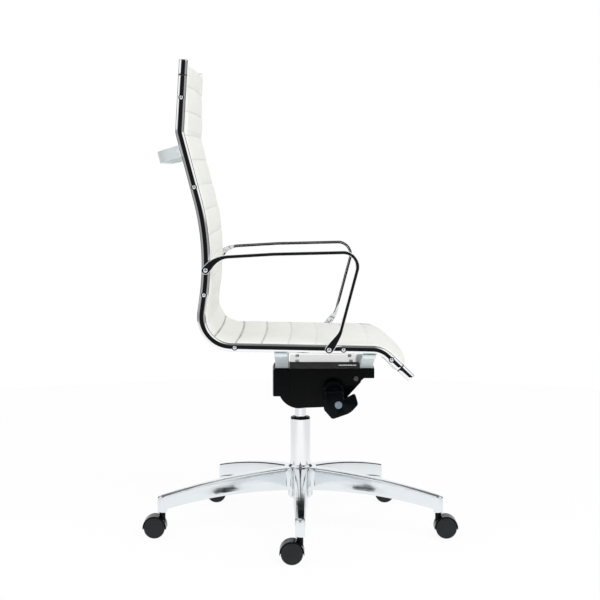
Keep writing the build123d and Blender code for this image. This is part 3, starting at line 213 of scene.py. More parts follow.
def supported(profile: list[Pair], reach: float = 0.0004, least: float = 0.003) -> np.ndarray:
    """Profile with one more point close to both ends of every long run.

    The smooth shading then bends only inside the short stretch at each corner, and a straight wall
    mirrors as a straight wall.

    Args:
        profile: (radius, height) points.
        reach: Distance of the added points from the corners.
        least: Runs shorter than this are left alone.

    Returns:
        Points as (n, 2).
    """
    points = [np.array(profile[0])]
    for before, after in zip(profile[:-1], profile[1:]):
        run = np.array(after) - np.array(before)
        length = float(np.hypot(*run))
        if length > least:
            points += [np.array(before) + run * reach / length, np.array(after) - run * reach / length]
        points.append(np.array(after))
    return np.array(points)


def rounded_profile(corners: list[Triple], steps: int = 5) -> list[Pair]:
    """Polyline whose corners are cut by arcs, as for a turned or moulded profile.

    An arc of a given radius meets both sides of its corner at radius times the tangent of half the turn.

    Args:
        corners: (radius, height, rounding) of each corner.
        steps: Points on each arc.

    Returns:
        (radius, height) points.
    """
    points = []
    for index, (x, y, rounding) in enumerate(corners):
        here = np.array([x, y])
        if rounding <= 0.0 or index in (0, len(corners) - 1):
            points.append((x, y))
            continue
        before = np.array(corners[index - 1][:2]) - here
        after = np.array(corners[index + 1][:2]) - here
        before /= np.linalg.norm(before)
        after /= np.linalg.norm(after)
        half = math.acos(float(np.clip(before @ after, -1.0, 1.0))) / 2
        reach = rounding / math.tan(half)
        middle = before + after
        centre = here + middle / np.linalg.norm(middle) * rounding / math.sin(half)
        start = here + before * reach - centre
        end = here + after * reach - centre
        for share in np.linspace(0.0, 1.0, steps):
            spoke = start * (1 - share) + end * share
            spoke *= rounding / np.linalg.norm(spoke)
            points.append(tuple(centre + spoke))
    return points


@dataclass(frozen=True)
class BentPath:
    """A line in a plane made of straight runs joined by tangent arcs.

    Attributes:
        corners: Corner points, in metres.
        radii: Bend radius at each inner corner.
    """

    corners: tuple[Pair, ...]
    radii: tuple[float, ...]

    def spans(self) -> list[tuple[float, np.ndarray, np.ndarray, float]]:
        """Runs and arcs in order, as (length, start, direction, curvature).

        Returns:
            The runs and arcs.
        """
        found = []
        points = [np.array(corner) for corner in self.corners]
        start = points[0]
        for index, radius in enumerate(self.radii, start=1):
            ahead = points[index] - points[index - 1]
            ahead = ahead / np.linalg.norm(ahead)
            after = points[index + 1] - points[index]
            after = after / np.linalg.norm(after)
            turn = math.atan2(ahead[0] * after[1] - ahead[1] * after[0], float(ahead @ after))
            cut = radius * math.tan(abs(turn) / 2)
            bend_start = points[index] - ahead * cut
            found.append((float(np.linalg.norm(bend_start - start)), start, ahead, 0.0))
            found.append((radius * abs(turn), bend_start, ahead, math.copysign(1 / radius, turn)))
            start = points[index] + after * cut
        last = points[-1] - start
        length = float(np.linalg.norm(last))
        found.append((length, start, last / length, 0.0))
        return found

    def length(self) -> float:
        """Length of the whole line."""
        return sum(span[0] for span in self.spans())

    def at(self, stations: np.ndarray) -> tuple[np.ndarray, np.ndarray]:
        """Points at distances along the line and the directions to its left.

        On an arc of curvature k the direction turns by k times the distance s, and the point moves by
        sin(ks)/k ahead and (1 - cos(ks))/k to the side.

        Args:
            stations: Distances from the start.

        Returns:
            Points and unit directions to the left, each as (n, 2).
        """
        spots = np.zeros((len(stations), 2))
        runs = np.zeros((len(stations), 2))
        passed = 0.0
        spans = self.spans()
        for index, (length, start, ahead, curve) in enumerate(spans):
            low = -np.inf if index == 0 else passed
            high = np.inf if index == len(spans) - 1 else passed + length
            chosen = (stations >= low) & (stations <= high)
            local = (stations[chosen] - passed)[:, None]
            aside = quarter_turn(ahead)
            if curve == 0.0:
                spots[chosen] = start + ahead * local
                runs[chosen] = ahead
            else:
                spots[chosen] = start + ahead * np.sin(curve * local) / curve
                spots[chosen] += aside * (1 - np.cos(curve * local)) / curve
                runs[chosen] = ahead * np.cos(curve * local) + aside * np.sin(curve * local)
            passed += length
        return spots, quarter_turn(runs)


def cleaned(
    mesh: bpy.types.Mesh, sharp_deg: float, merge: float, flat_deg: float = 0.0
) -> bpy.types.Object:
    """Clean a mesh, turn its faces outward and put it into the scene as a smooth-shaded object.

    Args:
        mesh: The mesh, whose name the object takes.
        sharp_deg: Edges that turn more than this stay crisp.
        merge: Points closer than this become one.
        flat_deg: Faces that turn less than this become one; at 0 only empty faces go.

    Returns:
        The object, at the origin.
    """
    shape = bmesh.new()
    shape.from_mesh(mesh)
    bmesh.ops.remove_doubles(shape, verts=shape.verts, dist=merge)
    if flat_deg > 0.0:
        flat = math.radians(flat_deg)
        bmesh.ops.dissolve_limit(shape, angle_limit=flat, verts=shape.verts, edges=shape.edges)
    else:
        bmesh.ops.dissolve_degenerate(shape, edges=shape.edges, dist=merge)
    bmesh.ops.recalc_face_normals(shape, faces=shape.faces)
    shape.to_mesh(mesh)
    shape.free()
    mesh.shade_smooth()
    mesh.set_sharp_from_angle(angle=math.radians(sharp_deg))
    made = bpy.data.objects.new(mesh.name, mesh)
    bpy.context.scene.collection.objects.link(made)
    return made


def mesh_object(
    name: str, surface: Surface, sharp_deg: float = 38.0, merge: float = 2e-6
) -> bpy.types.Object:
    """Turn a surface into a smooth-shaded object at the origin.

    Args:
        name: Name of the piece.
        surface: Its surface.
        sharp_deg: Edges that turn more than this stay crisp.
        merge: Points closer than this become one.

    Returns:
        The object, linked to the scene.
    """
    mesh = bpy.data.meshes.new(name)
    mesh.from_pydata(surface.points.tolist(), [], surface.faces.tolist())
    return cleaned(mesh, sharp_deg, merge)


# ------------------------------------------------------------------ finishes
# Most values of a noise lie in this span.
NOISE_SPAN = (0.3, 0.7)


class NodeBench:
    """A node tree with short calls for the nodes that the looks use."""

    def __init__(self, tree: bpy.types.NodeTree) -> None:
        """Take over a tree and empty it."""
        self.tree = tree
        self.tree.nodes.clear()

    def add(self, kind: str, **settings: object) -> bpy.types.Node:
        """Add a node and set its attributes.

        Args:
            kind: Type of the node.
            settings: Its attributes.

        Returns:
            The node.
        """
        node = self.tree.nodes.new(kind)
        for key, value in settings.items():
            setattr(node, key, value)
        return node

    def feed(self, target: Socket, given: Socket | float | tuple[float, ...]) -> None:
        """Link a socket to an input, or set the input to a number or a colour.

        Args:
            target: The input.
            given: A socket, a number or a colour.
        """
        if isinstance(given, bpy.types.NodeSocket):
            self.tree.links.new(given, target)
        elif isinstance(given, tuple):
            target.default_value = (*given, 1.0)
        else:
            target.default_value = given

    def math(self, operation: str, *values: Socket | float) -> Socket:
        """Arithmetic on one or two values.

        Args:
            operation: Name of the operation.
            values: Sockets or numbers.

        Returns:
            The result.
        """
        node = self.add("ShaderNodeMath", operation=operation)
        for target, given in zip(node.inputs, values):
            self.feed(target, given)
        return node.outputs[0]

    def remap(self, source: Socket, given: Pair, made: Pair = (0.0, 1.0), curve: str = "LINEAR") -> Socket:
        """Map a span of input values to a span of output values, clamped.

        Args:
            source: The input.
            given: Span of input values.
            made: Span of output values.
            curve: Interpolation between the two ends.

        Returns:
            The output.
        """
        node = self.add("ShaderNodeMapRange", interpolation_type=curve)
        for target, value in zip(node.inputs, (source, *given, *made)):
            self.feed(target, value)
        return node.outputs[0]

    def blend(
        self, share: Socket, first: Triple | Socket, second: Triple | float, kind: str = "RGBA"
    ) -> Socket:
        """Value between two values.

        Args:
            share: 0 for the first and 1 for the second.
            first: The first colour or number.
            second: The second.
            kind: RGBA for colours, FLOAT for numbers.

        Returns:
            The blend.
        """
        node = self.add("ShaderNodeMix", data_type=kind)
        for key, given in (("Factor", share), ("A", first), ("B", second)):
            self.feed(node.inputs[key], given)
        return node.outputs["Result"]

    def shader_mix(self, share: Socket, first: Socket, second: Socket) -> Socket:
        """Shader between two shaders.

        Args:
            share: 0 for the first and 1 for the second.
            first: The first.
            second: The second.

        Returns:
            The blend.
        """
        node = self.add("ShaderNodeMixShader")
        for target, source in zip(node.inputs, (share, first, second)):
            self.feed(target, source)
        return node.outputs[0]


class SurfaceBench(NodeBench):
    """The tree of a material with a Principled shader, patterned on Object coordinates."""

    def __init__(self, name: str) -> None:
        """Start a material with the shader and its output.

        Args:
            name: Name of the material.
        """
        self.material = bpy.data.materials.new(name)
        self.material.use_nodes = True
        super().__init__(self.material.node_tree)
        self.shader = self.add("ShaderNodeBsdfPrincipled")
        self.feed(self.add("ShaderNodeOutputMaterial").inputs["Surface"], self.shader.outputs[0])
        self.place = self.add("ShaderNodeTexCoord").outputs["Object"]

    def stretched(self, scale: Triple) -> Socket:
        """Object coordinates scaled by a factor along each axis.

        Args:
            scale: The factors.

        Returns:
            The coordinates.
        """
        mapping = self.add("ShaderNodeMapping")
        mapping.inputs["Scale"].default_value = scale
        self.feed(mapping.inputs["Vector"], self.place)
        return mapping.outputs[0]

    def noise(self, scale: float, detail: float = 3.0, where: Socket | None = None) -> Socket:
        """Fractal noise from 0 to 1.

        Args:
            scale: Waves per metre.
            detail: Octaves.
            where: Coordinates, if not the plain Object coordinates.

        Returns:
            The noise.
        """
        node = self.add("ShaderNodeTexNoise")
        self.feed(node.inputs["Scale"], scale)
        self.feed(node.inputs["Detail"], detail)
        self.feed(node.inputs["Vector"], where or self.place)
        return node.outputs["Fac"]

    def wander(self, scale: float, detail: float, span: Pair) -> Socket:
        """Value that wanders over a span as noise does."""
        return self.remap(self.noise(scale, detail), NOISE_SPAN, span)

    def cells(self, scale: float) -> Socket:
        """Distance to the nearest of many scattered points.

        Args:
            scale: Points per metre.

        Returns:
            The distance.
        """
        node = self.add("ShaderNodeTexVoronoi", feature="F1")
        self.feed(node.inputs["Scale"], scale)
        self.feed(node.inputs["Vector"], self.place)
        return node.outputs["Distance"]

    def mottled(self, scale: float, detail: float, first: Triple, second: Triple) -> Socket:
        """Colour that wanders between two colours as noise does."""
        return self.blend(self.wander(scale, detail, (0.0, 1.0)), first, second)

    def relief(self, height: Socket, distance: float, strength: float = 1.0) -> None:
        """Bump the surface by a height pattern, after any bump that is already there.

        Args:
            height: The pattern.
            distance: Height of its relief, in metres.
            strength: Share of the relief.
        """
        node = self.add("ShaderNodeBump")
        self.feed(node.inputs["Strength"], strength)
        self.feed(node.inputs["Distance"], distance)
        self.feed(node.inputs["Height"], height)
        normal = self.shader.inputs["Normal"]
        if normal.links:
            self.feed(node.inputs["Normal"], normal.links[0].from_socket)
        self.feed(normal, node.outputs[0])

    def set(self, **values: Socket | float) -> None:
        """Feed the shader's own sockets; underscores in a name stand for spaces."""
        for key, value in values.items():
            self.feed(self.shader.inputs[key.replace("_", " ")], value)


def scaled(colour: Triple, factor: float) -> Triple:
    """A colour made lighter or darker by a factor."""
    return tuple(min(1.0, part * factor) for part in colour)


@dataclass(frozen=True)
class Plating:
    """Bright plated or polished metal, with faint smears and a slow waviness from polishing.

    Attributes:
        colour: Reflected colour.
        roughness: Lowest and highest roughness over the smears.
        grain: Stretch of the polishing lines along X, Y and Z.
        wave: Height of the slow waviness, in metres.
        metallic: Share of bare metal; less than 1 for a silver lacquer.
        dimmest: Lowest share of the colour over the slow tone.
        brush: Height of the finest polishing marks, in metres.
        brush_strength: Share of their relief.
    """

    colour: Triple
    roughness: Pair
    grain: Triple = (60.0, 60.0, 60.0)
    wave: float = 0.0
    metallic: float = 1.0
    dimmest: float = 0.95
    brush: float = 0.000004
    brush_strength: float = 0.15

    def material(self, name: str) -> bpy.types.Material:
        """Build the node tree.

        Args:
            name: Name of the material.

        Returns:
            The material.
        """
        bench = SurfaceBench(name)
        smear = bench.noise(1.0, 5.0, bench.stretched(self.grain))
        bench.set(
            Roughness=bench.remap(smear, (0.3, 0.75), self.roughness),
            Base_Color=bench.mottled(9.0, 2.0, scaled(self.colour, self.dimmest), self.colour),
            Metallic=self.metallic,
        )
        bench.relief(bench.noise(2500.0, 2.0), self.brush, self.brush_strength)
        if self.wave > 0.0:
            bench.relief(bench.noise(38.0, 1.0), self.wave)
        return bench.material


@dataclass(frozen=True)
class Moulding:
    """Moulded plastic, rubber or textured coat: fine grain, slow tone and patchy roughness.

    Attributes:
        colour: Base colour.
        roughness: Lowest and highest roughness.
        grain_scale: Grains per metre.
        grain_height: Height of the grain, in metres.
        coat: Clear coat weight.
        coat_ior: Refractive index of the clear coat.
        specular: Specular level of the shader.
        tones: Darkest and lightest tone, as shares of the colour.
    """

    colour: Triple
    roughness: Pair
    grain_scale: float = 1500.0
    grain_height: float = 0.00002
    coat: float = 0.0
    coat_ior: float = 1.5
    specular: float = 0.5
    tones: Pair = (0.86, 1.12)

    def material(self, name: str) -> bpy.types.Material:
        """Build the node tree.

        Args:
            name: Name of the material.

        Returns:
            The material.
        """
        bench = SurfaceBench(name)
        dark, light = (scaled(self.colour, tone) for tone in self.tones)
        bench.set(
            Base_Color=bench.mottled(30.0, 4.0, dark, light),
            Roughness=bench.wander(140.0, 6.0, self.roughness),
            Coat_Weight=self.coat,
            Coat_Roughness=0.1,
            Coat_IOR=self.coat_ior,
            Specular_IOR_Level=self.specular,
        )
        bench.relief(bench.noise(self.grain_scale), self.grain_height)
        return bench.material


@dataclass(frozen=True)
class Hide:
    """Ivory upholstery leather: pebbled grain, soft creases, and painted shade that darkens the sewn
    channels.

    Attributes:
        colour: Base colour.
        painted_channel_shade: Colour deep in a channel.
        roughness: Lowest and highest roughness.
        pebble_scale: Grain cells per metre.
        pebble_height: Height of the grain, in metres.
        crease_height: Height of the soft creases, in metres.
    """

    colour: Triple
    # painted_channel_shade: Painted shade colour, deep in a channel.
    painted_channel_shade: Triple
    roughness: Pair = (0.42, 0.58)
    pebble_scale: float = 900.0
    pebble_height: float = 0.00012
    crease_height: float = 0.0006

    def material(self, name: str) -> bpy.types.Material:
        """Build the node tree; the attribute painted_channel_shade says how deep in a channel a point lies,
        and the colour there is darkened toward the channel colour as painted shade.

        Args:
            name: Name of the material.

        Returns:
            The material.
        """
        bench = SurfaceBench(name)
        hide = bench.mottled(22.0, 5.0, scaled(self.colour, 0.965), self.colour)
        depth = bench.add("ShaderNodeAttribute", attribute_name="painted_channel_shade").outputs["Fac"]
        bench.set(
            # painted shade: the hide's colour darkens toward the channel colour deep in the sewn channels
            Base_Color=bench.blend(bench.remap(depth, (0.35, 1.0)), hide, self.painted_channel_shade),
            Roughness=bench.wander(260.0, 4.0, self.roughness),
            Specular_IOR_Level=0.35,
            Sheen_Weight=0.08,
            Sheen_Roughness=0.5,
        )
        pebbles = bench.math("ADD", bench.cells(self.pebble_scale), bench.cells(self.pebble_scale * 2.3))
        bench.relief(pebbles, self.pebble_height, 0.6)
        bench.relief(bench.noise(75.0, 5.0), self.crease_height, 0.35)
        return bench.material


class Finish(Enum):
    """Every finish on the chair, by the record's material slot; zinc is the scene's own."""

    POLISHED_ALUMINIUM = "polished_aluminium"
    SATIN_ALUMINIUM = "satin_aluminium"
    CHROME = "chrome"
    BRIGHT_STEEL = "bright_steel"
    ZINC = "zinc"
    DARK_STEEL = "dark_steel"
    BLACK_ENAMEL = "black_enamel"
    BLACK_PLASTIC = "black_plastic"
    CHARCOAL_PLASTIC = "charcoal_plastic"
    GREY_BUTTON = "grey_button"
    BLACK_RUBBER = "black_rubber"
    IVORY_LEATHER = "ivory_leather"


RECIPES: dict[Finish, Plating | Moulding | Hide] = {
    Finish.POLISHED_ALUMINIUM: Plating((0.83, 0.87, 0.90), (0.09, 0.19), (30.0, 30.0, 160.0), wave=0.00030),
    Finish.SATIN_ALUMINIUM: Plating((0.78, 0.85, 0.87), (0.40, 0.54), (25.0, 300.0, 25.0), metallic=0.42),
    Finish.CHROME: Plating((0.94, 0.95, 0.97), (0.02, 0.06)),
    Finish.BRIGHT_STEEL: Plating((0.80, 0.83, 0.87), (0.20, 0.32)),
    Finish.ZINC: Moulding((0.80, 0.82, 0.83), (0.35, 0.50), grain_height=0.000010),
    Finish.DARK_STEEL: Moulding(
        (0.016, 0.017, 0.016), (0.10, 0.20), 900.0, 0.000003, coat=1.0, coat_ior=2.0, specular=0.6
    ),
    Finish.BLACK_ENAMEL: Moulding((0.0016, 0.0020, 0.0024), (0.18, 0.26), 1200.0, 0.000003, specular=0.12),
    Finish.BLACK_PLASTIC: Moulding((0.0022, 0.0030, 0.0042), (0.16, 0.25), 1200.0, 0.000003, specular=0.09),
    Finish.CHARCOAL_PLASTIC: Moulding(
        (0.0125, 0.0140, 0.0165), (0.40, 0.52), 2600.0, 0.000010, specular=0.26
    ),
    Finish.GREY_BUTTON: Moulding((0.17, 0.23, 0.29), (0.30, 0.42), grain_height=0.000015),
    Finish.BLACK_RUBBER: Moulding((0.012, 0.012, 0.012), (0.65, 0.80), 1200.0, 0.00004),
    # The leather's second colour is painted shade, laid deep in the sewn channels.
    Finish.IVORY_LEATHER: Hide((0.84, 0.845, 0.80), (0.27, 0.25, 0.20)),
}

NODE_FINISHES = {"tilt_pivot_pin": Finish.DARK_STEEL, "frame_screws": Finish.ZINC}


@dataclass
class PaintShop:
    """Keeps one material for each finish and puts it on pieces and CAD nodes.

    Attributes:
        mixed: The materials built so far.
    """

    mixed: dict[Finish, bpy.types.Material] = field(default_factory=dict)

    def material(self, finish: Finish) -> bpy.types.Material:
        """The finish's material, built when first asked for.

        Args:
            finish: The finish.

        Returns:
            The material.
        """
        if finish not in self.mixed:
            self.mixed[finish] = RECIPES[finish].material(finish.value)
        return self.mixed[finish]

    def coat_nodes(self) -> None:
        """Give every CAD node the finish that its material slot in the record names."""
        for part in frame["record"]["subparts"]:
            node = frame["nodes"][part["node"]]
            finish = NODE_FINISHES.get(part["node"], Finish(part["material_slot"]))
            material = self.material(finish)
            for spot in node.material_slots:
                spot.material = material
            if not node.material_slots:
                node.data.materials.append(material)

    def dress(
        self, piece: bpy.types.Object, body: str, finish: Finish, replaced: tuple[str, ...] = ()
    ) -> bpy.types.Object:
        """Coat a piece, let it ride on its body and hide the CAD nodes that it stands for.

        Args:
            piece: The piece.
            body: Moving body that it rides on.
            finish: Its finish.
            replaced: CAD nodes that it stands for.

        Returns:
            The piece.
        """
        piece.data.materials.clear()
        piece.data.materials.append(self.material(finish))
        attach(piece, body)
        if replaced:
            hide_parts(*replaced)
        LOG.info("%s: %d faces on %s", piece.name, len(piece.data.polygons), body)
        return piece


def finished(
    shop: PaintShop,
    name: str,
    surface: Surface,
    body: str,
    finish: Finish,
    replaced: tuple[str, ...] = (),
    sharp_deg: float = 38.0,
) -> bpy.types.Object:
    """Make a piece of a surface and dress it.

    Args:
        shop: Source of the materials.
        name: Name of the piece.
        surface: Its surface.
        body: Moving body that it rides on.
        finish: Its finish.
        replaced: CAD nodes that it stands for.
        sharp_deg: Edges that turn more than this stay crisp.

    Returns:
        The piece.
    """
    return shop.dress(mesh_object(name, surface, sharp_deg), body, finish, replaced)


# ------------------------------------------------------------------ studio
@dataclass(frozen=True)
class Band:
    """Angles between two limits in degrees: 1 inside and 0 outside, with soft edges.

    Attributes:
        low: Lower limit.
        high: Upper limit.
        soft: Half the width of an edge.
    """

    low: float
    high: float
    soft: float

    def mask(self, bench: NodeBench, angle: Socket) -> Socket:
        """Product of a rise at the lower limit and a fall at the upper one.

        Args:
            bench: Tree to build in.
            angle: The angle, in radians.

        Returns:
            The mask.
        """
        rise = (self.low - self.soft, self.low + self.soft)
        fall = (self.high + self.soft, self.high - self.soft)
        spans = [(math.radians(start), math.radians(end)) for start, end in (rise, fall)]
        return bench.math("MULTIPLY", *(bench.remap(angle, span, curve="SMOOTHSTEP") for span in spans))


@dataclass(frozen=True)
class Lamp:
    """A large round soft lamp that isn't seen in reflections.

    Attributes:
        name: Its name.
        place: Where it hangs.
        size: Its diameter.
        power: Its power, in watts.
        aim: Where it points.
    """

    name: str
    place: Triple
    size: float
    power: float
    aim: Triple = (0.0, 0.0, 0.5)

    def build(self) -> None:
        """Hang the lamp, tipped from straight down and turned to face its aim."""
        lamp = bpy.data.lights.new(self.name, "AREA")
        lamp.shape = "DISK"
        lamp.size = self.size
        lamp.energy = self.power
        holder = bpy.data.objects.new(self.name, lamp)
        holder.location = self.place
        ahead, aside, up = np.array(self.aim) - np.array(self.place)
        tip = math.atan2(math.hypot(ahead, aside), -up)
        holder.rotation_euler = (tip, 0.0, math.atan2(aside, ahead) - math.pi / 2)
        holder.visible_glossy = False
        bpy.context.scene.collection.objects.link(holder)


@dataclass
class Studio:
    """Pale floor, soft light all round and the camera.

    Attributes:
        floor_radius: Radius of the pale floor that metal mirrors.
        floor_glow: Share of plain glow in what the camera and metal see of the floor.
        floor_fade: Distances beside the column between which the mirrored floor dims.
        floor_far: Glow of the mirrored floor beyond them.
        sky_level: Strength of the even light.
        backdrop: Mirrored white backdrop: angles off the camera's side, and heights.
        walls: Mirrored side walls: the same.
        upper_wall: Heights at which the walls are fully bright.
        wall_lean: Change of those heights toward the chair's front, in radians.
        wall_levels: Gain of the upper walls over the lower ones, and level of the lower ones.
        ceiling: Heights of the mirrored ceiling.
        ceiling_level: Its brightness.
        ground: Heights of the mirrored ground beyond the floor.
        room_levels: Gain of all that metal mirrors, and least level.
        lamps: A key lamp high over the chair's front and a fill lamp lower at its back.
        camera_place: Where the camera stands.
        camera_pitch: How far it looks down, in radians.
        camera_yaw: How far it turns, in radians.
        lens: Focal length, in mm.
        sensor: Width of the sensor, in mm.
    """

    floor_radius: float = 2.6
    floor_glow: float = 0.93
    floor_fade: Pair = (0.35, 1.4)
    floor_far: float = 0.80
    sky_level: float = 0.80
    backdrop: tuple[Band, Band] = (Band(148.0, 200.0, 4.0), Band(-95.0, 33.0, 1.5))
    walls: tuple[Band, Band] = (Band(17.0, 104.0, 3.0), Band(-95.0, 62.0, 6.0))
    upper_wall: Band = Band(5.2, 95.0, 1.6)
    wall_lean: float = -0.05
    wall_levels: Pair = (0.64, 0.36)
    ceiling: Band = Band(24.0, 95.0, 6.0)
    ceiling_level: float = 0.17
    ground: Band = Band(-95.0, -30.0, 6.0)
    room_levels: Pair = (0.97, 0.012)
    lamps: tuple[Lamp, ...] = (
        Lamp("key", (1.6, -2.4, 2.8), 2.4, 55.0),
        Lamp("fill", (-2.4, -1.6, 1.6), 2.2, 18.0),
    )
    camera_place: Triple = (0.0066, -3.6069, 0.8752)
    camera_pitch: float = 0.0869
    camera_yaw: float = 0.0021
    lens: float = 89.02
    sensor: float = 36.0

    def build(self) -> None:
        """Make the floor, the world, the lamps and the camera."""
        self.floor()
        self.world()
        for lamp in self.lamps:
            lamp.build()
        self.camera()
        bpy.context.scene.view_settings.view_transform = "Standard"

    def floor(self) -> None:
        """Round floor: white to the camera and in reflections, and lightly shaded by the chair."""
        ring = np.linspace(0.0, self.floor_radius, 3)
        turn = np.linspace(0.0, 2 * math.pi, 96, endpoint=False)
        flat = ring[:, None, None] * np.stack([np.cos(turn), np.sin(turn), 0.0 * turn], axis=-1)
        floor = mesh_object("floor", grid(flat))
        material = bpy.data.materials.new("floor_paper")
        material.use_nodes = True
        bench = NodeBench(material.node_tree)
        rays = bench.add("ShaderNodeLightPath").outputs
        axes = bench.add("ShaderNodeSeparateXYZ")
        bench.feed(axes.inputs[0], bench.add("ShaderNodeTexCoord").outputs["Object"])
        beside = bench.math("ABSOLUTE", axes.outputs["X"])
        mirrored = bench.remap(beside, self.floor_fade, (1.0, self.floor_far), "SMOOTHSTEP")
        glow = bench.add("ShaderNodeEmission")
        bench.feed(glow.inputs["Color"], (1.0, 1.0, 1.0))
        bench.feed(glow.inputs["Strength"], bench.blend(rays["Is Camera Ray"], mirrored, 1.0, "FLOAT"))
        paper = bench.add("ShaderNodeBsdfDiffuse")
        bench.feed(paper.inputs["Color"], (0.9, 0.9, 0.9))
        seen = bench.math("MAXIMUM", rays["Is Camera Ray"], rays["Is Glossy Ray"])
        share = bench.math("MULTIPLY", seen, self.floor_glow)
        output = bench.add("ShaderNodeOutputMaterial")
        bench.feed(output.inputs["Surface"], bench.shader_mix(share, paper.outputs[0], glow.outputs[0]))
        floor.data.materials.append(material)

    def mirrored_room(self, bench: NodeBench) -> Socket:
        """Brightness of the room that metal mirrors in each direction.

        One angle is measured round the column from the camera's side and the other up from the
        horizon. The brightest of backdrop, walls, ground and ceiling counts.

        Args:
            bench: Tree to build in.

        Returns:
            The brightness.
        """
        axes = bench.add("ShaderNodeSeparateXYZ")
        bench.feed(axes.inputs[0], bench.add("ShaderNodeTexCoord").outputs["Generated"])
        x, y, z = axes.outputs
        height = bench.math("ARCSINE", z)
        off_front = bench.math("ABSOLUTE", bench.math("ARCTAN2", x, bench.math("MULTIPLY", y, -1.0)))
        backdrop, walls = (
            bench.math("MULTIPLY", beside.mask(bench, off_front), above.mask(bench, height))
            for beside, above in (self.backdrop, self.walls)
        )
        leant = bench.math("ADD", height, bench.math("MULTIPLY", x, self.wall_lean))
        upper = bench.math("MULTIPLY", self.upper_wall.mask(bench, leant), self.wall_levels[0])
        walls = bench.math("MULTIPLY", walls, bench.math("ADD", upper, self.wall_levels[1]))
        ceiling = bench.math("MULTIPLY", self.ceiling.mask(bench, height), self.ceiling_level)
        brightest = backdrop
        for other in (walls, self.ground.mask(bench, height), ceiling):
            brightest = bench.math("MAXIMUM", brightest, other)
        gain, least = self.room_levels
        return bench.math("ADD", bench.math("MULTIPLY", brightest, gain), least)

    def world(self) -> None:
        """White background for the camera, the mirrored room for metal and even light for the rest."""
        world = bpy.data.worlds.new("studio")
        bpy.context.scene.world = world
        world.use_nodes = True
        bench = NodeBench(world.node_tree)
        layers = []
        for strength in (self.sky_level, self.mirrored_room(bench), 1.0):
            background = bench.add("ShaderNodeBackground")
            bench.feed(background.inputs["Color"], (1.0, 1.0, 1.0))
            bench.feed(background.inputs["Strength"], strength)
            layers.append(background.outputs[0])
        rays = bench.add("ShaderNodeLightPath").outputs
        lit = bench.shader_mix(rays["Is Glossy Ray"], layers[0], layers[1])
        lit = bench.shader_mix(rays["Is Camera Ray"], lit, layers[2])
        bench.feed(bench.add("ShaderNodeOutputWorld").inputs["Surface"], lit)

    def camera(self) -> None:
        """Camera square to the chair's side, a little above the seat."""
        lens = bpy.data.cameras.new("camera")
        lens.lens = self.lens
        lens.sensor_width = self.sensor
        holder = bpy.data.objects.new("camera", lens)
        holder.location = self.camera_place
        holder.rotation_euler = (math.pi / 2 - self.camera_pitch, 0.0, self.camera_yaw)
        bpy.context.scene.collection.objects.link(holder)
        bpy.context.scene.camera = holder


# ------------------------------------------------------------------ side frames
RAIL_LINE = BentPath(
    corners=(
        (-0.2616, 1.124), (-0.2716, 0.962), (-0.2035, 0.701),
        (-0.2352, 0.4757), (0.186, 0.4675), (0.2543, 0.4026),
    ),
    radii=(0.030, 0.571, 0.070, 0.052),
)
RAIL_LENGTH = RAIL_LINE.length()
RAIL_Y = 0.247
RAIL_FACE_Y = 0.2535


def rail_points(stations: np.ndarray, off: np.ndarray | float = 0.0) -> tuple[np.ndarray, np.ndarray]:
    """Points beside the rails' centre line, toward the sitter for a positive offset.

    Args:
        stations: Distances along the line from its top.
        off: Distance from the line, one for all or one for each station.

    Returns:
        Points and the directions toward the sitter, each as (n, 2).
    """
    spots, aside = RAIL_LINE.at(stations)
    return spots + aside * np.reshape(off, (-1, 1)), aside


def swept(
    path: BentPath, stations: np.ndarray, rings: np.ndarray, middle_y: np.ndarray | float
) -> Surface:
    """Sweep outlines along a line in the side view.

    Each outline point (u, v) lands u along Y and v to the side of the line, so the point is
    line(s) + v * aside(s) in the side view and middle_y(s) + u across the chair.

    Args:
        path: Line in the side view.
        stations: Distances along it.
        rings: Outlines as (stations, points, 2).
        middle_y: Y of the outline's origin, one for all or one for each station.

    Returns:
        The closed surface.
    """
    spots, aside = path.at(stations)
    along_y = rings[..., 0] + np.reshape(middle_y, (-1, 1))
    flat = spots[:, None, :] + rings[..., 1:2] * aside[:, None, :]
    return closed_tube(np.stack([flat[..., 0], along_y, flat[..., 1]], axis=-1))


def closing_span(
    start: float, end: float, edges: Pair, count: int, steps: int
) -> tuple[np.ndarray, np.ndarray]:
    """Places along a span whose ends are round, and how full it is at each, from 0 to 1.

    At the angle t of the quarter circle at an end the place is 1 - cos t of the edge inside that
    end and the fullness is sin t.

    Args:
        start: First place.
        end: Last place.
        edges: Lengths of the two round ends.
        count: Places between them, with both of their inner ends.
        steps: Places on each round end.

    Returns:
        Places and fullness.
    """
    turn = np.linspace(0.0, math.pi / 2, steps)
    near = start + edges[0] * (1 - np.cos(turn))
    far = end - edges[1] * (1 - np.cos(turn[::-1]))
    middle = np.linspace(start + edges[0], end - edges[1], count)[1:-1]
    full = np.concatenate([np.sin(turn), np.ones(len(middle)), np.sin(turn[::-1])])
    return np.concatenate([near, middle, far]), full


def eased_ends(start: float, end: float, radius: float, step: float) -> tuple[np.ndarray, np.ndarray]:
    """Stations of a bar with rounded ends, and how far its outline is drawn in at each.

    Args:
        start: First station.
        end: Last station.
        radius: Radius of the rounding.
        step: Spacing between the ends.

    Returns:
        Stations and insets.
    """
    count = max(3, int((end - start) / step))
    stations, full = closing_span(start, end, (radius, radius), count, 7)
    return stations, radius * (1 - full)


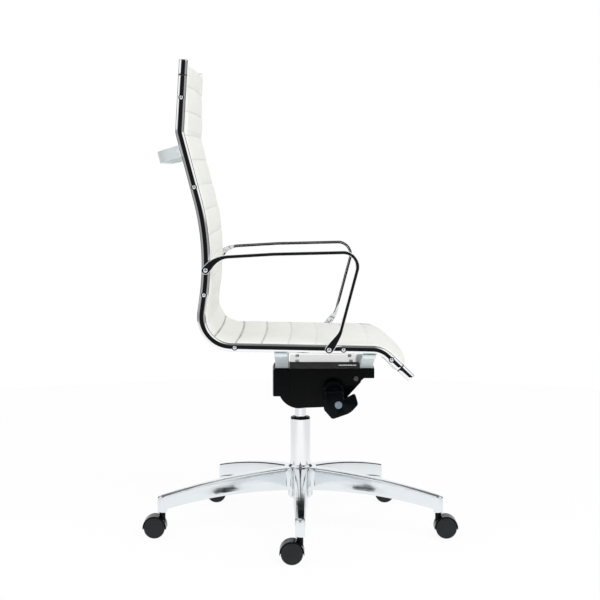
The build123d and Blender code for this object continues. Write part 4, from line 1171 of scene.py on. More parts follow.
@dataclass(frozen=True)
class ScrewHead:
    """Domed screw head or flat washer along +Y with a hexagon socket.

    Attributes:
        radius: Radius of the head.
        height: Height of the head.
        socket: Radius of the hexagon socket across its corners.
        socket_depth: Depth of the socket.
        sunk: How far its foot dips into what it stands on.
        segments: Steps round the circle.
    """

    radius: float = 0.0047
    height: float = 0.0030
    socket: float = 0.0011
    socket_depth: float = 0.0009
    sunk: float = 0.0004
    segments: int = 36

    def surface(self) -> Surface:
        """The head standing on the plane Y = 0.

        The dome is h (0.2 + 0.8 sqrt(1 - q^2)) high at the share q of the radius. The socket is a
        hexagon: at the angle a its wall is cos 30 / cos(a mod 60 - 30) of its size away.

        Returns:
            The head.
        """
        turn = np.linspace(0.0, 2 * math.pi, self.segments, endpoint=False)
        rim = np.linspace(self.radius, 1.15 * self.socket, 9)
        rise = self.height * (0.2 + 0.8 * np.sqrt(1 - (rim / self.radius) ** 2 * 0.999))
        radius = np.concatenate([[0.0, self.radius * 0.98, self.radius], rim, [self.socket * 1.03]])
        height = np.concatenate([[-self.sunk, -self.sunk, 0.0], rise, rise[-1:]])
        wall = self.socket * math.cos(math.pi / 6) / np.cos(np.mod(turn, math.pi / 3) - math.pi / 6)
        floor = rise[-1] - np.array([0.0001, self.socket_depth, self.socket_depth])
        radii = np.vstack([radius[:, None] * np.ones(self.segments), wall, wall * 0.97, 0.0 * wall])
        heights = np.broadcast_to(np.concatenate([height, floor])[:, None], radii.shape)
        return grid(np.stack([radii * np.cos(turn), heights, -radii * np.sin(turn)], axis=-1))

    def set_out(self, spots: np.ndarray, face_y: float) -> Surface:
        """Heads at spots of the side view on the outer faces of both sides.

        Args:
            spots: Places as (n, 2).
            face_y: Y of the left outer face.

        Returns:
            All the heads.
        """
        return self.surface().copied(np.insert(spots, 1, face_y, axis=1)).paired()


@dataclass
class SideRails:
    """Bent oval tubes up the back and along the seat, their caps and the screws in their outer faces.

    Attributes:
        depth: Size in the side view.
        width: Size across the chair.
        rounding: Corner radius of the oval.
        cap: Length of an end cap.
        cap_rounding: Rounding of a cap's ends.
        tube_rounding: Rounding of the tube's ends.
        seam: Width of the groove between tube and cap.
        joint_width: Width of the dark ring over the groove.
        lining_start: Rail station at which the lining of a top cap starts.
        lining_gauge: Thickness of the lining on the inner face of a top cap.
        lining_edge: Rounding of its edges.
        screw_stations: Screws along the rail.
        screw: A screw.
        washer: The dark washer under it.
    """

    depth: float = 0.020
    width: float = 0.013
    rounding: float = 0.0062
    cap: float = 0.036
    cap_rounding: float = 0.002
    tube_rounding: float = 0.0003
    seam: float = 0.0006
    joint_width: float = 0.0028
    lining_start: float = 0.0015
    lining_gauge: float = 0.0016
    lining_edge: float = 0.0006
    screw_stations: tuple[float, ...] = (0.085, 0.290, 0.537, 0.703, 0.951, 1.067)
    screw: ScrewHead = ScrewHead()
    washer: ScrewHead = ScrewHead(radius=0.0066, height=0.0006, socket=0.0030, socket_depth=0.0002)

    def section(self, inset: np.ndarray) -> np.ndarray:
        """Outlines of the oval, drawn in by an inset at each station."""
        rounding = np.maximum(self.rounding - inset, 0.001)
        return rounded_rectangle(self.width - 2 * inset, self.depth - 2 * inset, rounding, 9)

    def bar(self, start: float, end: float, end_radius: float) -> Surface:
        """A length of the left rail with rounded ends.

        Args:
            start: First station.
            end: Last station.
            end_radius: Rounding of its ends.

        Returns:
            The bar.
        """
        stations, inset = eased_ends(start, end, end_radius, 0.004)
        return swept(RAIL_LINE, stations, self.section(inset), RAIL_Y)

    def joint(self, station: float) -> Surface:
        """Thin dark ring between tube and cap, just proud of both.

        Args:
            station: Rail station of its middle.

        Returns:
            The ring.
        """
        stations = station + np.array([-0.5, -0.5, -0.3, 0.3, 0.5, 0.5]) * self.joint_width
        proud = np.array([-0.0010, 0.0, 0.00012, 0.00012, 0.0, -0.0010])
        return swept(RAIL_LINE, stations, self.section(-proud), RAIL_Y)

    def lining(self) -> Surface:
        """Thin strip along the inner face of the top cap, where the sling's edge is tucked in.

        Returns:
            The left strip.
        """
        stations, inset = eased_ends(self.lining_start, self.cap, self.lining_edge, 0.003)
        rounding = np.maximum(self.lining_edge - inset, 0.0001)
        rings = rounded_rectangle(self.lining_gauge - 2 * inset, self.depth - 2 * inset, rounding, 5)
        return swept(RAIL_LINE, stations, rings, RAIL_Y - self.width / 2)

    def build(self, shop: PaintShop) -> None:
        """Make the tubes, the caps with their rings and linings, and the screws of both sides.

        Args:
            shop: Source of the materials.
        """
        top, front, gap = self.cap, RAIL_LENGTH - self.cap, self.seam / 2
        for side in Side:
            name = side.name.lower()
            tube = self.bar(top + gap, front - gap, self.tube_rounding)
            finished(shop, f"side_rail_{name}", tube.on(side), "seat", Finish.CHROME, (f"rail_{name}",))
        cap_ends = ((0.0, top - gap), (front + gap, RAIL_LENGTH))
        caps = [self.bar(start, end, self.cap_rounding) for start, end in cap_ends]
        aside = self.joint_width / 3
        joints = [self.joint(station) for station in (top - aside, front + aside)]
        spots, _ = rail_points(np.array(self.screw_stations))
        screws, washers = (head.set_out(spots, RAIL_FACE_Y) for head in (self.screw, self.washer))
        for name, surface, finish, replaced in (
            ("rail_end_caps", caps[0].joined(caps[1]).paired(), Finish.CHROME, ("rail_caps",)),
            ("rail_cap_joints", joints[0].joined(joints[1]).paired(), Finish.BLACK_RUBBER, ()),
            ("top_cap_linings", self.lining().paired(), Finish.IVORY_LEATHER, ()),
            ("side_rail_screws", screws, Finish.BRIGHT_STEEL, ("rail_screws",)),
            ("side_rail_washers", washers, Finish.BLACK_PLASTIC, ()),
        ):
            finished(shop, name, surface, "seat", finish, replaced)


@dataclass
class ArmLoop:
    """Loop of flat bar over one side with a plane outer face: wide along the top, thin at its screws.

    Attributes:
        gauge: Thickness of the bar in the side view.
        top_width: Width across the chair along the top.
        eye_radius: Radius of the eyes.
        eye_width: Width across the chair at the eyes.
        rear_station: Rail station of the rear eye.
        front_station: Rail station of the front eye.
        fade: Length over which an eye thins into the bar.
        rear_flare: Start and end of the widening, as distances from the rear eye.
        front_flare: The same from the front eye.
        corners: Corners of the loop in the side view, between its eyes.
        bends: Bend radius at each of them.
        edge: Rounding of the bar's edges.
        gap: Room between the bar and the rail's outer face.
        screw: A screw.
        washer: The dark washer under it.
    """

    gauge: float = 0.008
    top_width: float = 0.024
    eye_radius: float = 0.0095
    eye_width: float = 0.009
    rear_station: float = 0.480
    front_station: float = 0.918
    fade: float = 0.060
    rear_flare: Pair = (0.024, 0.048)
    front_flare: Pair = (0.0135, 0.040)
    corners: tuple[Pair, ...] = ((-0.188, 0.6795), (-0.060, 0.687), (0.1395, 0.6917), (0.091, 0.507))
    bends: tuple[float, ...] = (0.060, 0.300, 0.032, 0.060)
    edge: float = 0.0011
    gap: float = 0.00005
    screw: ScrewHead = ScrewHead(radius=0.0055, height=0.0030, socket=0.0013)
    washer: ScrewHead = ScrewHead(radius=0.0080, height=0.0006, socket=0.0030, socket_depth=0.0002)

    def eyes(self) -> np.ndarray:
        """Side-view centres of the two eyes."""
        return rail_points(np.array([self.rear_station, self.front_station]))[0]

    def bar(self) -> Surface:
        """The left loop.

        At a distance s from an eye the bar is sqrt(R^2 - s^2) deep on the eye's round end, and past
        the centre it thins from R to half the gauge as a smooth step over the fade. It widens inward
        as a smooth step over each flare, so its outer face stays in one plane.

        Returns:
            The closed surface.
        """
        rear, front = (tuple(eye) for eye in self.eyes())
        path = BentPath((rear, *self.corners, front), self.bends)
        length = path.length()
        round_end = self.eye_radius * np.cos(np.linspace(0.0, math.pi / 2, 12))
        stations = np.concatenate([-round_end, np.arange(0.001, length, 0.0025), length + round_end[::-1]])
        near = np.minimum(stations, length - stations)
        ease = smoothstep(np.clip(near / self.fade, 0.0, 1.0))
        half = self.gauge / 2 + (self.eye_radius - self.gauge / 2) * (1 - ease)
        half = np.where(near < 0, np.sqrt(np.clip(self.eye_radius**2 - near**2, 1e-10, None)), half)
        at_rear = stations < length / 2
        start, end = (np.where(at_rear, *ends) for ends in zip(self.rear_flare, self.front_flare))
        flare = smoothstep(np.clip((near - start) / (end - start), 0.0, 1.0))
        width = self.eye_width + (self.top_width - self.eye_width) * flare
        rings = rounded_rectangle(width, 2 * half, np.minimum(self.edge, half * 0.9), 7)
        return swept(path, stations, rings, RAIL_FACE_Y + self.gap + self.eye_width - width / 2)

    def build(self, shop: PaintShop) -> None:
        """Make both loops and their screws, each on a dark washer.

        Args:
            shop: Source of the materials.
        """
        for side in Side:
            name = side.name.lower()
            finished(shop, f"arm_loop_{name}", self.bar().on(side), "seat", Finish.CHROME, (f"arm_{name}",))
        for name, head, finish, replaced in (
            ("screws", self.screw, Finish.BRIGHT_STEEL, ("arm_screws",)),
            ("washers", self.washer, Finish.BLACK_PLASTIC, ()),
        ):
            heads = head.set_out(self.eyes(), RAIL_FACE_Y + self.eye_width)
            finished(shop, f"arm_loop_{name}", heads, "seat", finish, replaced)


# ------------------------------------------------------------------ upholstery
def scatter(seed: np.ndarray) -> np.ndarray:
    """Angle that looks random and is fixed by its seed: many times sin(seed), mod a full turn."""
    return np.mod(np.sin(seed) * 43758.5453, 2 * math.pi)


@dataclass
class Sling:
    """Ribbed leather sling between the rails, sewn across at even steps.

    Attributes:
        half_width: Half of its width.
        start: Rail station of its top edge.
        end: Rail station of its front hem.
        seams: Rail stations of the seams.
        sewn: How tightly each seam is drawn in, from 0 to 1; it also sets how dark the painted shade in its
            channel is.
        valley: Height of the front face in a seam, from the rail's centre line.
        crown: Rise of a rib over its seams.
        lift: Further rise of the front face, as (station, rise) pairs.
        droop: Further depth of the rear face, as (station, depth) pairs.
        bow: Rise of the middle of the sling over its side edges, as (station, rise) pairs.
        hem_bow: How far the middle of the front hem runs past its ends.
        back: Depth of the rear face below the centre line.
        roll: Radius of the rolled side edges.
        pitch: Distance between seams, for the reach of the puckers.
        ends: Lengths over which the two faces close at the top edge and at the hem.
        drift_span: Rail stations between which the seams come to be drawn forward.
        drift_reach: How far they run forward in the middle, and backward at the sides.
        stretched: Distances from the middle plane between which the hide is stretched flat.
        stretch_share: Share of a seam's depth that is lost there.
        hem_reach: Length over which the hem's bow is eased in.
        pucker_waves: Lengths and shares of the waves that make up the puckers.
        pucker_height: Height of the puckers.
        pucker_reach: Distances from the seam over which they rise and die out.
        rear_seam: Depth of a seam in the rear face.
        rear_bow: Share of the bow that the rear face follows.
        painted_shade_width: Half width of the painted shade in a sewn channel.
        thread: Radius of the thread.
        thread_lift: Height of the thread over the seam.
        stitch_step: Distance between stitches.
        stitch_length: Length of a stitch.
        sewn_half: Half of the width that is sewn.
    """

    half_width: float = 0.2401
    start: float = 0.0105
    end: float = RAIL_LENGTH - 0.030
    seams: tuple[float, ...] = (
        0.0585, 0.1145, 0.1725, 0.2290, 0.2875, 0.3440, 0.4000, 0.4500, 0.5015, 0.5525, 0.6040, 0.6480,
        0.7080, 0.7665, 0.8270, 0.8895, 0.9490, 1.0080,
    )
    sewn: tuple[float, ...] = (
        0.50, 0.54, 0.54, 0.54, 0.50, 0.50, 0.50, 0.40, 0.38, 0.38, 0.42, 1.00,
        0.92, 0.78, 0.55, 0.45, 0.30, 0.36,
    )
    valley: float = 0.0088
    crown: float = 0.0040
    lift: tuple[Pair, ...] = (
        (0.0, -0.0024), (0.06, -0.0019), (0.10, 0.0006), (0.125, 0.0028), (0.160, 0.0028), (0.19, -0.0008),
        (0.54, -0.0008), (0.59, 0.0010), (0.625, 0.0014), (0.66, -0.0008), (0.75, -0.0012), (0.96, -0.0008),
        (1.03, -0.0026), (1.06, -0.0006), (1.085, 0.0008), (1.105, -0.0006), (1.13, -0.0030),
    )
    droop: tuple[Pair, ...] = ((0.0, 0.0), (1.02, 0.0), (1.05, 0.0060), (1.10, 0.0070))
    bow: tuple[Pair, ...] = (
        (0.0, 0.0090), (0.30, 0.0080), (0.42, 0.0070), (0.52, 0.0035),
        (0.62, 0.0035), (0.72, 0.0040), (1.10, 0.0060),
    )
    hem_bow: float = 0.016
    back: float = 0.0078
    roll: float = 0.013
    pitch: float = 0.0565
    ends: Pair = (0.010, 0.015)
    drift_span: Pair = (0.60, 0.66)
    drift_reach: Pair = (0.0062, 0.0030)
    stretched: Pair = (0.165, 0.220)
    stretch_share: float = 0.68
    hem_reach: float = 0.09
    pucker_waves: tuple[Pair, ...] = ((0.061, 0.7), (0.034, 0.9), (0.021, 0.8), (0.0137, 0.5))
    pucker_height: float = 0.0011
    pucker_reach: Pair = (0.0016, 0.011)
    rear_seam: float = 0.0012
    rear_bow: float = 0.55
    painted_shade_width: float = 0.0034
    thread: float = 0.00042
    thread_lift: float = 0.0003
    stitch_step: float = 0.0042
    stitch_length: float = 0.0034
    sewn_half: float = 0.224

    def rib_count(self, stations: np.ndarray) -> np.ndarray:
        """Place along the sling counted in ribs: 0 at the first seam, 1 at the second and so on.

        Args:
            stations: Rail stations.

        Returns:
            Distances in ribs.
        """
        known = np.array([self.seams[0] - self.pitch, *self.seams, self.seams[-1] + self.pitch])
        counted = np.interp(stations, known, np.arange(-1.0, len(self.seams) + 1.0))
        before = np.minimum(0.0, (stations - known[0]) / self.pitch)
        after = np.maximum(0.0, (stations - known[-1]) / self.pitch)
        return counted + before + after

    def drift(self, stations: np.ndarray, y: np.ndarray) -> np.ndarray:
        """How far a seam runs ahead of its station: seat seams are drawn forward in the middle.

        Args:
            stations: Rail stations.
            y: Places across the chair.

        Returns:
            Distances.
        """
        on_seat = np.interp(stations, self.drift_span, (0.0, 1.0))
        ahead, behind = self.drift_reach
        return on_seat * (ahead * (1 - (np.abs(y) / self.half_width) ** 2) - behind)

    def bowed(self, stations: np.ndarray, y: np.ndarray) -> np.ndarray:
        """Rise of the middle over the edges: bow(s) * (1 - |y / half width|^2.6)."""
        share = np.minimum(np.abs(y) / self.half_width, 1.0)
        return np.interp(stations, *np.array(self.bow).T) * (1 - share**2.6)

    def seam_depth(self, tight: np.ndarray, y: np.ndarray) -> np.ndarray:
        """Depth of a seam under its ribs: less where the hide is stretched over the sling's sides."""
        side = smoothstep(np.interp(np.abs(y), self.stretched, (0.0, 1.0)))
        return self.crown * (0.75 + 0.5 * tight) * (1 - self.stretch_share * side)

    def along(self, stations: np.ndarray, y: np.ndarray) -> np.ndarray:
        """Stations with the hem bowed forward: s + bow * (1 - |y / half width|^1.6), eased in."""
        share = smoothstep(np.clip((stations - self.end) / self.hem_reach + 1, 0.0, 1.0))
        return stations + self.hem_bow * share * (1 - np.minimum(np.abs(y) / self.half_width, 1.0) ** 1.6)

    def tightness(self, ribs: np.ndarray) -> np.ndarray:
        """How tightly the nearest seam is drawn in."""
        nearest = np.clip(np.round(ribs), 0, len(self.seams) - 1).astype(int)
        return np.array(self.sewn)[nearest]

    def puckers(self, ribs: np.ndarray, y: np.ndarray) -> np.ndarray:
        """Small gathers that run away from each seam and die out toward the crown.

        The height is a sum of waves across the chair whose phases differ from seam to seam, times
        exp(-distance from the seam / reach).

        Args:
            ribs: Distance in ribs, as a column.
            y: Place across the chair, as a row.

        Returns:
            Heights in metres.
        """
        seam = np.round(ribs)
        gap = np.abs(ribs - seam) * self.pitch
        rise, reach = self.pucker_reach
        fade = np.exp(-gap / reach) * (1 - np.exp(-gap / rise))
        fade = fade * (1 - (np.abs(y) / self.half_width) ** 8)
        waves = np.zeros(np.broadcast(ribs, y).shape)
        for index, (length, height) in enumerate(self.pucker_waves):
            phase = scatter(seam * (12.9898 + index * 3.1) + index * 7.7)
            lean = ribs * (0.9 + 0.4 * index)
            waves = waves + height * np.sin(2 * math.pi * y / length + phase + lean)
        slow = 0.5 + 0.5 * np.sin(2 * math.pi * y / 0.173 + seam * 2.4)
        return waves * fade * slow * self.pucker_height

    def swell(self, ribs: np.ndarray, y: np.ndarray) -> np.ndarray:
        """Unevenness of the filling, as two slow waves: each rib fuller here and flatter there.

        Args:
            ribs: Distance in ribs.
            y: Place across the chair.

        Returns:
            Heights in metres.
        """
        phase = scatter(np.floor(ribs) * 78.233 + 1.3)
        long_wave = 0.00045 * np.sin(2 * math.pi * y / 0.21 + phase)
        return long_wave + 0.0003 * np.sin(2 * math.pi * y / 0.083 + 2.1 * phase)

    def front_face(self, rows: np.ndarray, ribs: np.ndarray, y: np.ndarray) -> np.ndarray:
        """Height of the front face over the rail's centre line.

        Between two seams a rib is round: the depth of the seam times 1 - |sin(pi r)|^0.55 is taken
        off at r ribs. Outside the first and last seams the sling is smooth.

        Args:
            rows: Rail stations, as a column.
            ribs: Distance in ribs.
            y: Place across the chair, as a row.

        Returns:
            Heights in metres.
        """
        tight = self.tightness(ribs)
        beyond = (ribs < -0.5) | (ribs > len(self.seams) - 0.5)
        pillow = np.where(beyond, 1.0, np.abs(np.sin(ribs * math.pi)) ** 0.55)
        height = self.valley + self.crown + np.interp(rows, *np.array(self.lift).T)
        height = height - self.seam_depth(tight, y) * (1 - pillow)
        return height + self.puckers(ribs, y) * (0.5 + tight) + self.swell(ribs, y)

    def rear_face(self, rows: np.ndarray, ribs: np.ndarray) -> np.ndarray:
        """Height of the rear face, below 0: drawn in at a seam, and deeper at the droop.

        Args:
            rows: Rail stations, as a column.
            ribs: Distance in ribs.

        Returns:
            Heights in metres.
        """
        depth = self.back - self.rear_seam * (1 - np.abs(np.sin(ribs * math.pi)) ** 0.6)
        return -depth - np.interp(rows, *np.array(self.droop).T)

    def surface(self) -> tuple[Surface, np.ndarray]:
        """Skin of the sling and how much painted shade each of its points gets, most deep in a channel.

        Rows follow the rail. Across, the front face runs from one edge to the other and the rear
        face back again. Near an edge both faces close on the middle as the fullness of a closing
        span does, and so they do at the top edge and the hem.

        Returns:
            The skin, and the painted shade from 0 to 1 for each of its points.
        """
        stations, closing = closing_span(self.start, self.end, self.ends, 760, 9)
        y_front, full = closing_span(-self.half_width, self.half_width, (self.roll, self.roll), 118, 8)
        rows, closing = stations[:, None], closing[:, None]
        across = np.concatenate([y_front, y_front[::-1][1:-1]])[None, :]
        ribs = self.rib_count(rows - self.drift(rows, across))
        front_ribs, rear_ribs = np.hsplit(ribs, [len(y_front)])
        middle = (self.valley + self.crown - self.back) / 2 * 0.25
        front = middle + (self.front_face(rows, front_ribs, y_front[None, :]) - middle) * full * closing
        rear = middle + (self.rear_face(rows, rear_ribs) - middle) * full[::-1][1:-1] * closing
        offsets = np.hstack([front, rear])
        offsets = offsets + self.bowed(rows, across) * np.where(offsets > middle, 1.0, self.rear_bow)
        flat, _ = rail_points(self.along(rows, across).reshape(-1), offsets.reshape(-1))
        flat = flat.reshape(*offsets.shape, 2)
        points = np.stack([flat[..., 0], np.broadcast_to(across, offsets.shape), flat[..., 1]], axis=-1)
        # Painted shade for the hide's colour: darkest in a seam's channel, as strong as the seam is drawn
        # in, and half as strong on the rear face.
        gap = np.abs(ribs - np.clip(np.round(ribs), 0, len(self.seams) - 1)) * self.pitch
        painted_channel_shade = np.exp(-((gap / self.painted_shade_width) ** 2)) * self.tightness(ribs)
        painted_channel_shade[:, len(y_front) :] *= 0.5
        return grid(points), painted_channel_shade.reshape(-1)

    def stitches(self) -> Surface:
        """Thread along every seam, as short spindles end to end.

        A stitch is four six-sided rings: the two in its middle have the thread's radius, and the
        two at its ends are thinner and dip into the hide.

        Returns:
            All the stitches.
        """
        y = np.arange(-self.sewn_half, self.sewn_half + 0.0001, self.stitch_step)
        seam_rows = np.array(self.seams)[:, None]
        places = seam_rows + self.drift(seam_rows, y[None, :])
        tight = np.array(self.sewn)[:, None]
        lifts = self.valley + self.crown + np.interp(places, *np.array(self.lift).T)
        lifts = lifts - self.seam_depth(tight, y[None, :]) + self.thread_lift
        lifts = lifts + self.bowed(places, y[None, :])
        spots, aside = rail_points(self.along(places, y[None, :]).reshape(-1), lifts.reshape(-1))
        ahead = -quarter_turn(aside)
        along = np.array([-0.5, -0.2, 0.2, 0.5]) * self.stitch_length
        swell = np.array([0.35, 1.0, 1.0, 0.35])[:, None] * self.thread
        dip = np.array([-0.0006, 0.0, 0.0, -0.0006])[:, None]
        turn = np.linspace(0.0, 2 * math.pi, 6, endpoint=False)
        out = (dip + swell * np.cos(turn))[None, ..., None]
        side = (swell * np.sin(turn))[None, ..., None]
        plane = spots[:, None, None, :] + out * aside[:, None, None, :] + side * ahead[:, None, None, :]
        count = len(spots)
        middle_y = np.tile(y, len(self.seams))[:, None, None]
        across = np.broadcast_to(middle_y + along[None, :, None], (count, 4, 6))
        points = np.stack([plane[..., 0], across, plane[..., 1]], axis=-1)
        ends = np.array([[0, 1, 2, 3], [3, 4, 5, 0], [21, 20, 19, 18], [18, 23, 22, 21]])
        faces = np.vstack([grid(points[0]).faces, ends])
        starts = 24 * np.arange(count)[:, None, None]
        return Surface(points.reshape(-1, 3), (faces[None] + starts).reshape(-1, 4))

    def build(self, shop: PaintShop) -> None:
        """Make the sling, store the painted shade of its channels for the hide's colour, and make its
        stitching.

        Args:
            shop: Source of the materials.
        """
        skin, painted_channel_shade = self.surface()
        piece = mesh_object("leather_sling", skin, 180.0, 1e-9)
        # Painted shade in the channels, kept as a point attribute for the hide's colour.
        store = piece.data.attributes.new("painted_channel_shade", "FLOAT", "POINT")
        points = np.empty(len(piece.data.vertices) * 3, dtype=np.float32)
        piece.data.vertices.foreach_get("co", points)
        store.data.foreach_set("value", nearest_values(points.reshape(-1, 3), skin.points, painted_channel_shade))
        shop.dress(piece, "seat", Finish.IVORY_LEATHER, ("sling",))
        thread = mesh_object("sling_stitches", self.stitches(), 60.0, 1e-9)
        shop.dress(thread, "seat", Finish.IVORY_LEATHER)


def nearest_values(points: np.ndarray, known: np.ndarray, values: np.ndarray) -> np.ndarray:
    """Values carried from known points to the same points in another order.

    Args:
        points: Points that need values.
        known: Points that have them.
        values: The values.

    Returns:
        One value for each point.
    """
    tree = KDTree(len(known))
    for index, spot in enumerate(known):
        tree.insert(spot, index)
    tree.balance()
    return np.array([values[tree.find(spot)[1]] for spot in points], dtype=np.float32)


# ------------------------------------------------------------------ base and casters
@dataclass
class StarBase:
    """Polished five-leg star: arched hollow legs, rounded notches between them, a hub and tip sockets.

    Attributes:
        legs: Number of legs.
        first_deg: Direction of the first leg.
        reach: Radius of the caster circle.
        bore: Radius inside the hub where the skin ends.
        root: Distance from the axis at which a leg starts.
        root_half: Half width of a leg there.
        tip_half: Half width of a leg at its tip.
        notch: Radius of the notch between two legs.
        edge: Rounding along the top edges.
        wall: Wall thickness.
        rim: Rounding of the bottom rim.
        bulge: How far the outer walls bulge.
        crown: Rise of a leg's middle over its edges.
        top: Top line of the legs, as height at the hub, height at the tip and arch.
        foot: Bottom line of the legs, the same way.
    """

    legs: int = 5
    first_deg: float = -90.0
    reach: float = 0.3475
    bore: float = 0.0275
    root: float = 0.025
    root_half: float = 0.018
    tip_half: float = 0.0113
    notch: float = 0.016
    edge: float = 0.0040
    wall: float = 0.0045
    rim: float = 0.0008
    bulge: float = 0.0005
    crown: float = 0.0011
    top: Triple = (0.151, 0.1015, 0.0075)
    foot: Triple = (0.0955, 0.067, 0.0120)

    def turns(self) -> np.ndarray:
        """Directions of the legs, in radians."""
        return np.radians(self.first_deg + np.arange(self.legs) * 360.0 / self.legs)

    def height(self, flat: np.ndarray, curve: Triple) -> np.ndarray:
        """Height of an arched line over the legs.

        From the hub to the tip the line falls evenly and bulges by 4 * arch * s * (1 - s) at the
        share s of the way.

        Args:
            flat: Places in plan, as (n, 2).
            curve: Height at the hub, height at the tip and arch.

        Returns:
            Heights.
        """
        radius = np.linalg.norm(flat, axis=-1)
        share = np.clip((radius - self.root) / (self.reach - self.root), 0.0, 1.03)
        return curve[0] + (curve[1] - curve[0]) * share + 4 * curve[2] * share * (1 - share)

    def half_outline(self) -> tuple[np.ndarray, np.ndarray, np.ndarray]:
        """Outline of half a leg in plan, from the middle of a notch to the tip, for a leg along +X.

        Returns:
            Points, outward normals, and the inner point that each of them is drawn to.
        """
        half_step = math.pi / self.legs
        lean = math.atan2(self.root_half - self.tip_half, self.reach - self.root)
        normal = np.array([math.sin(lean), math.cos(lean)])
        bisector = np.array([math.cos(half_step), math.sin(half_step)])
        root = np.array([self.root, self.root_half])
        centre = bisector * (self.notch + root @ normal) / (bisector @ normal)
        start, end = math.atan2(-bisector[1], -bisector[0]), math.atan2(-normal[1], -normal[0])
        turn = np.linspace(start, end, 12)
        arc = centre + self.notch * np.stack([np.cos(turn), np.sin(turn)], axis=-1)
        arc_normals = (centre - arc) / self.notch
        tangent = arc[-1]
        tip = np.array([self.reach, 0.0]) + self.tip_half * normal
        share = np.linspace(0.0, 1.0, 64)[1:-1, None]
        side = tangent * (1 - share) + tip * share
        round_tip = np.linspace(math.atan2(normal[1], normal[0]), 0.0, 9)
        cap_normals = np.stack([np.cos(round_tip), np.sin(round_tip)], axis=-1)
        cap = np.array([self.reach, 0.0]) + self.tip_half * cap_normals
        points = np.vstack([arc, side, cap])
        normals = np.vstack([arc_normals, np.broadcast_to(normal, side.shape), cap_normals])
        walked = np.linspace(0.0, 1.0, len(arc))
        bore_turn = half_step * (1 - walked)
        bore = self.bore * np.stack([np.cos(bore_turn), np.sin(bore_turn)], axis=-1)
        along = (side[:, 0] - tangent[0]) / (self.reach - tangent[0])
        spine_x = self.bore + (self.reach - self.bore) * along
        spine = np.stack([spine_x, np.zeros(len(spine_x))], axis=-1)
        pole = np.broadcast_to(np.array([self.reach, 0.0]), cap.shape)
        return points, normals, np.vstack([bore, spine, pole])

    def skin(self) -> Surface:
        """Closed skin of the star.

        Rows run from the middle of the hidden inner face, out and down the inner wall, over the
        bottom rim, up the outer wall, round the edge (drawn in by r(1 - cos t) and down by
        r(1 - sin t)) and over the top to the middle of each leg.

        Returns:
            The closed skin.
        """
        outline, outward, middle = (
            np.vstack([half, (half * np.array([1.0, -1.0]))[::-1][1:-1]]) for half in self.half_outline()
        )
        in_wall = outline - outward * self.wall
        in_edge = outline - outward * self.edge
        low = self.height(outline, self.foot)
        shoulder = self.height(outline, self.top) - self.edge
        rows = []
        for share in (1.0, 0.5, 0.0):
            flat = in_wall * (1 - share) + middle * share
            rows.append((flat, self.height(flat, self.top) - self.wall))
        rows.append((in_wall, low + self.rim))
        rows.append((in_wall + outward * self.rim, low))
        rows.append((outline - outward * self.rim, low))
        for share in (0.0, 0.2, 0.4, 0.6, 0.8):
            flat = outline + outward * self.bulge * math.sin(math.pi * share)
            rows.append((flat, (low + self.rim) * (1 - share) + shoulder * share))
        for turn in np.linspace(0.0, math.pi / 2, 8):
            flat = outline - outward * self.edge * (1 - math.cos(turn))
            rows.append((flat, self.height(flat, self.top) - self.edge * (1 - math.sin(turn))))
        for share in (0.25, 0.5, 0.75, 1.0):
            flat = in_edge * (1 - share) + middle * share
            rows.append((flat, self.height(flat, self.top) + self.crown * (1 - (1 - share) ** 2)))
        return self.ring_of_legs(np.stack([np.column_stack(row) for row in rows]))

    def ring_of_legs(self, leg: np.ndarray) -> Surface:
        """All the legs, and the lip round the bore between the skin's first and last rows.

        Args:
            leg: Points of a leg along +X, as (rows, columns, 3).

        Returns:
            The closed skin.
        """
        ring = []
        for turn in self.turns():
            turned = leg.copy()
            turned[..., 0] = leg[..., 0] * math.cos(turn) - leg[..., 1] * math.sin(turn)
            turned[..., 1] = leg[..., 0] * math.sin(turn) + leg[..., 1] * math.cos(turn)
            ring.append(turned[:, ::-1])
        whole = grid(np.concatenate(ring, axis=1))
        columns = leg.shape[1] * self.legs
        first = np.arange(columns)
        onward = (first + 1) % columns
        last = (leg.shape[0] - 1) * columns
        at_bore = np.linalg.norm(whole.points[last + first][:, :2], axis=1) < self.bore + 1e-4
        lip = np.stack([first, onward, last + onward, last + first], axis=-1)[at_bore & at_bore[onward]]
        return Surface(whole.points, np.vstack([whole.faces, lip]))

    def hub(self) -> Surface:
        """Hub tube round the column, with a rounded rim above the legs and a flange below.

        Returns:
            The tube.
        """
        profile = rounded_profile(
            [
                (0.02515, 0.110, 0.0), (0.02515, 0.1570, 0.0004), (0.0270, 0.1570, 0.0008),
                (0.0296, 0.1528, 0.0040), (0.0300, 0.104, 0.0), (0.0300, 0.0795, 0.0),
                (0.0262, 0.0742, 0.002), (0.0212, 0.0742, 0.0006), (0.02515, 0.110, 0.0),
            ]
        )
        return lathe(profile, 120)

    def sockets(self) -> Surface:
        """Upright sockets at the leg tips, with a moulded shoulder and a drilled foot.

        Returns:
            All the sockets.
        """
        profile = rounded_profile(
            [
                (0.0, 0.0960, 0.0), (0.0085, 0.0960, 0.0), (0.0113, 0.0950, 0.002), (0.0115, 0.0630, 0.0),
                (0.0115, 0.0602, 0.0012), (0.0060, 0.0602, 0.0006), (0.0060, 0.0880, 0.0),
                (0.0, 0.0880, 0.0),
            ]
        )
        turns = self.turns()
        spots = self.reach * np.stack([np.cos(turns), np.sin(turns), 0.0 * turns], axis=-1)
        return lathe(profile, 56).copied(spots)

    def build(self, shop: PaintShop) -> None:
        """Make the star and its sockets.

        Args:
            shop: Source of the materials.
        """
        metal = Finish.POLISHED_ALUMINIUM
        finished(shop, "star_legs", self.skin().joined(self.hub()), "base", metal, ("star_base",), 50.0)
        finished(shop, "star_sockets", self.sockets(), "base", metal)


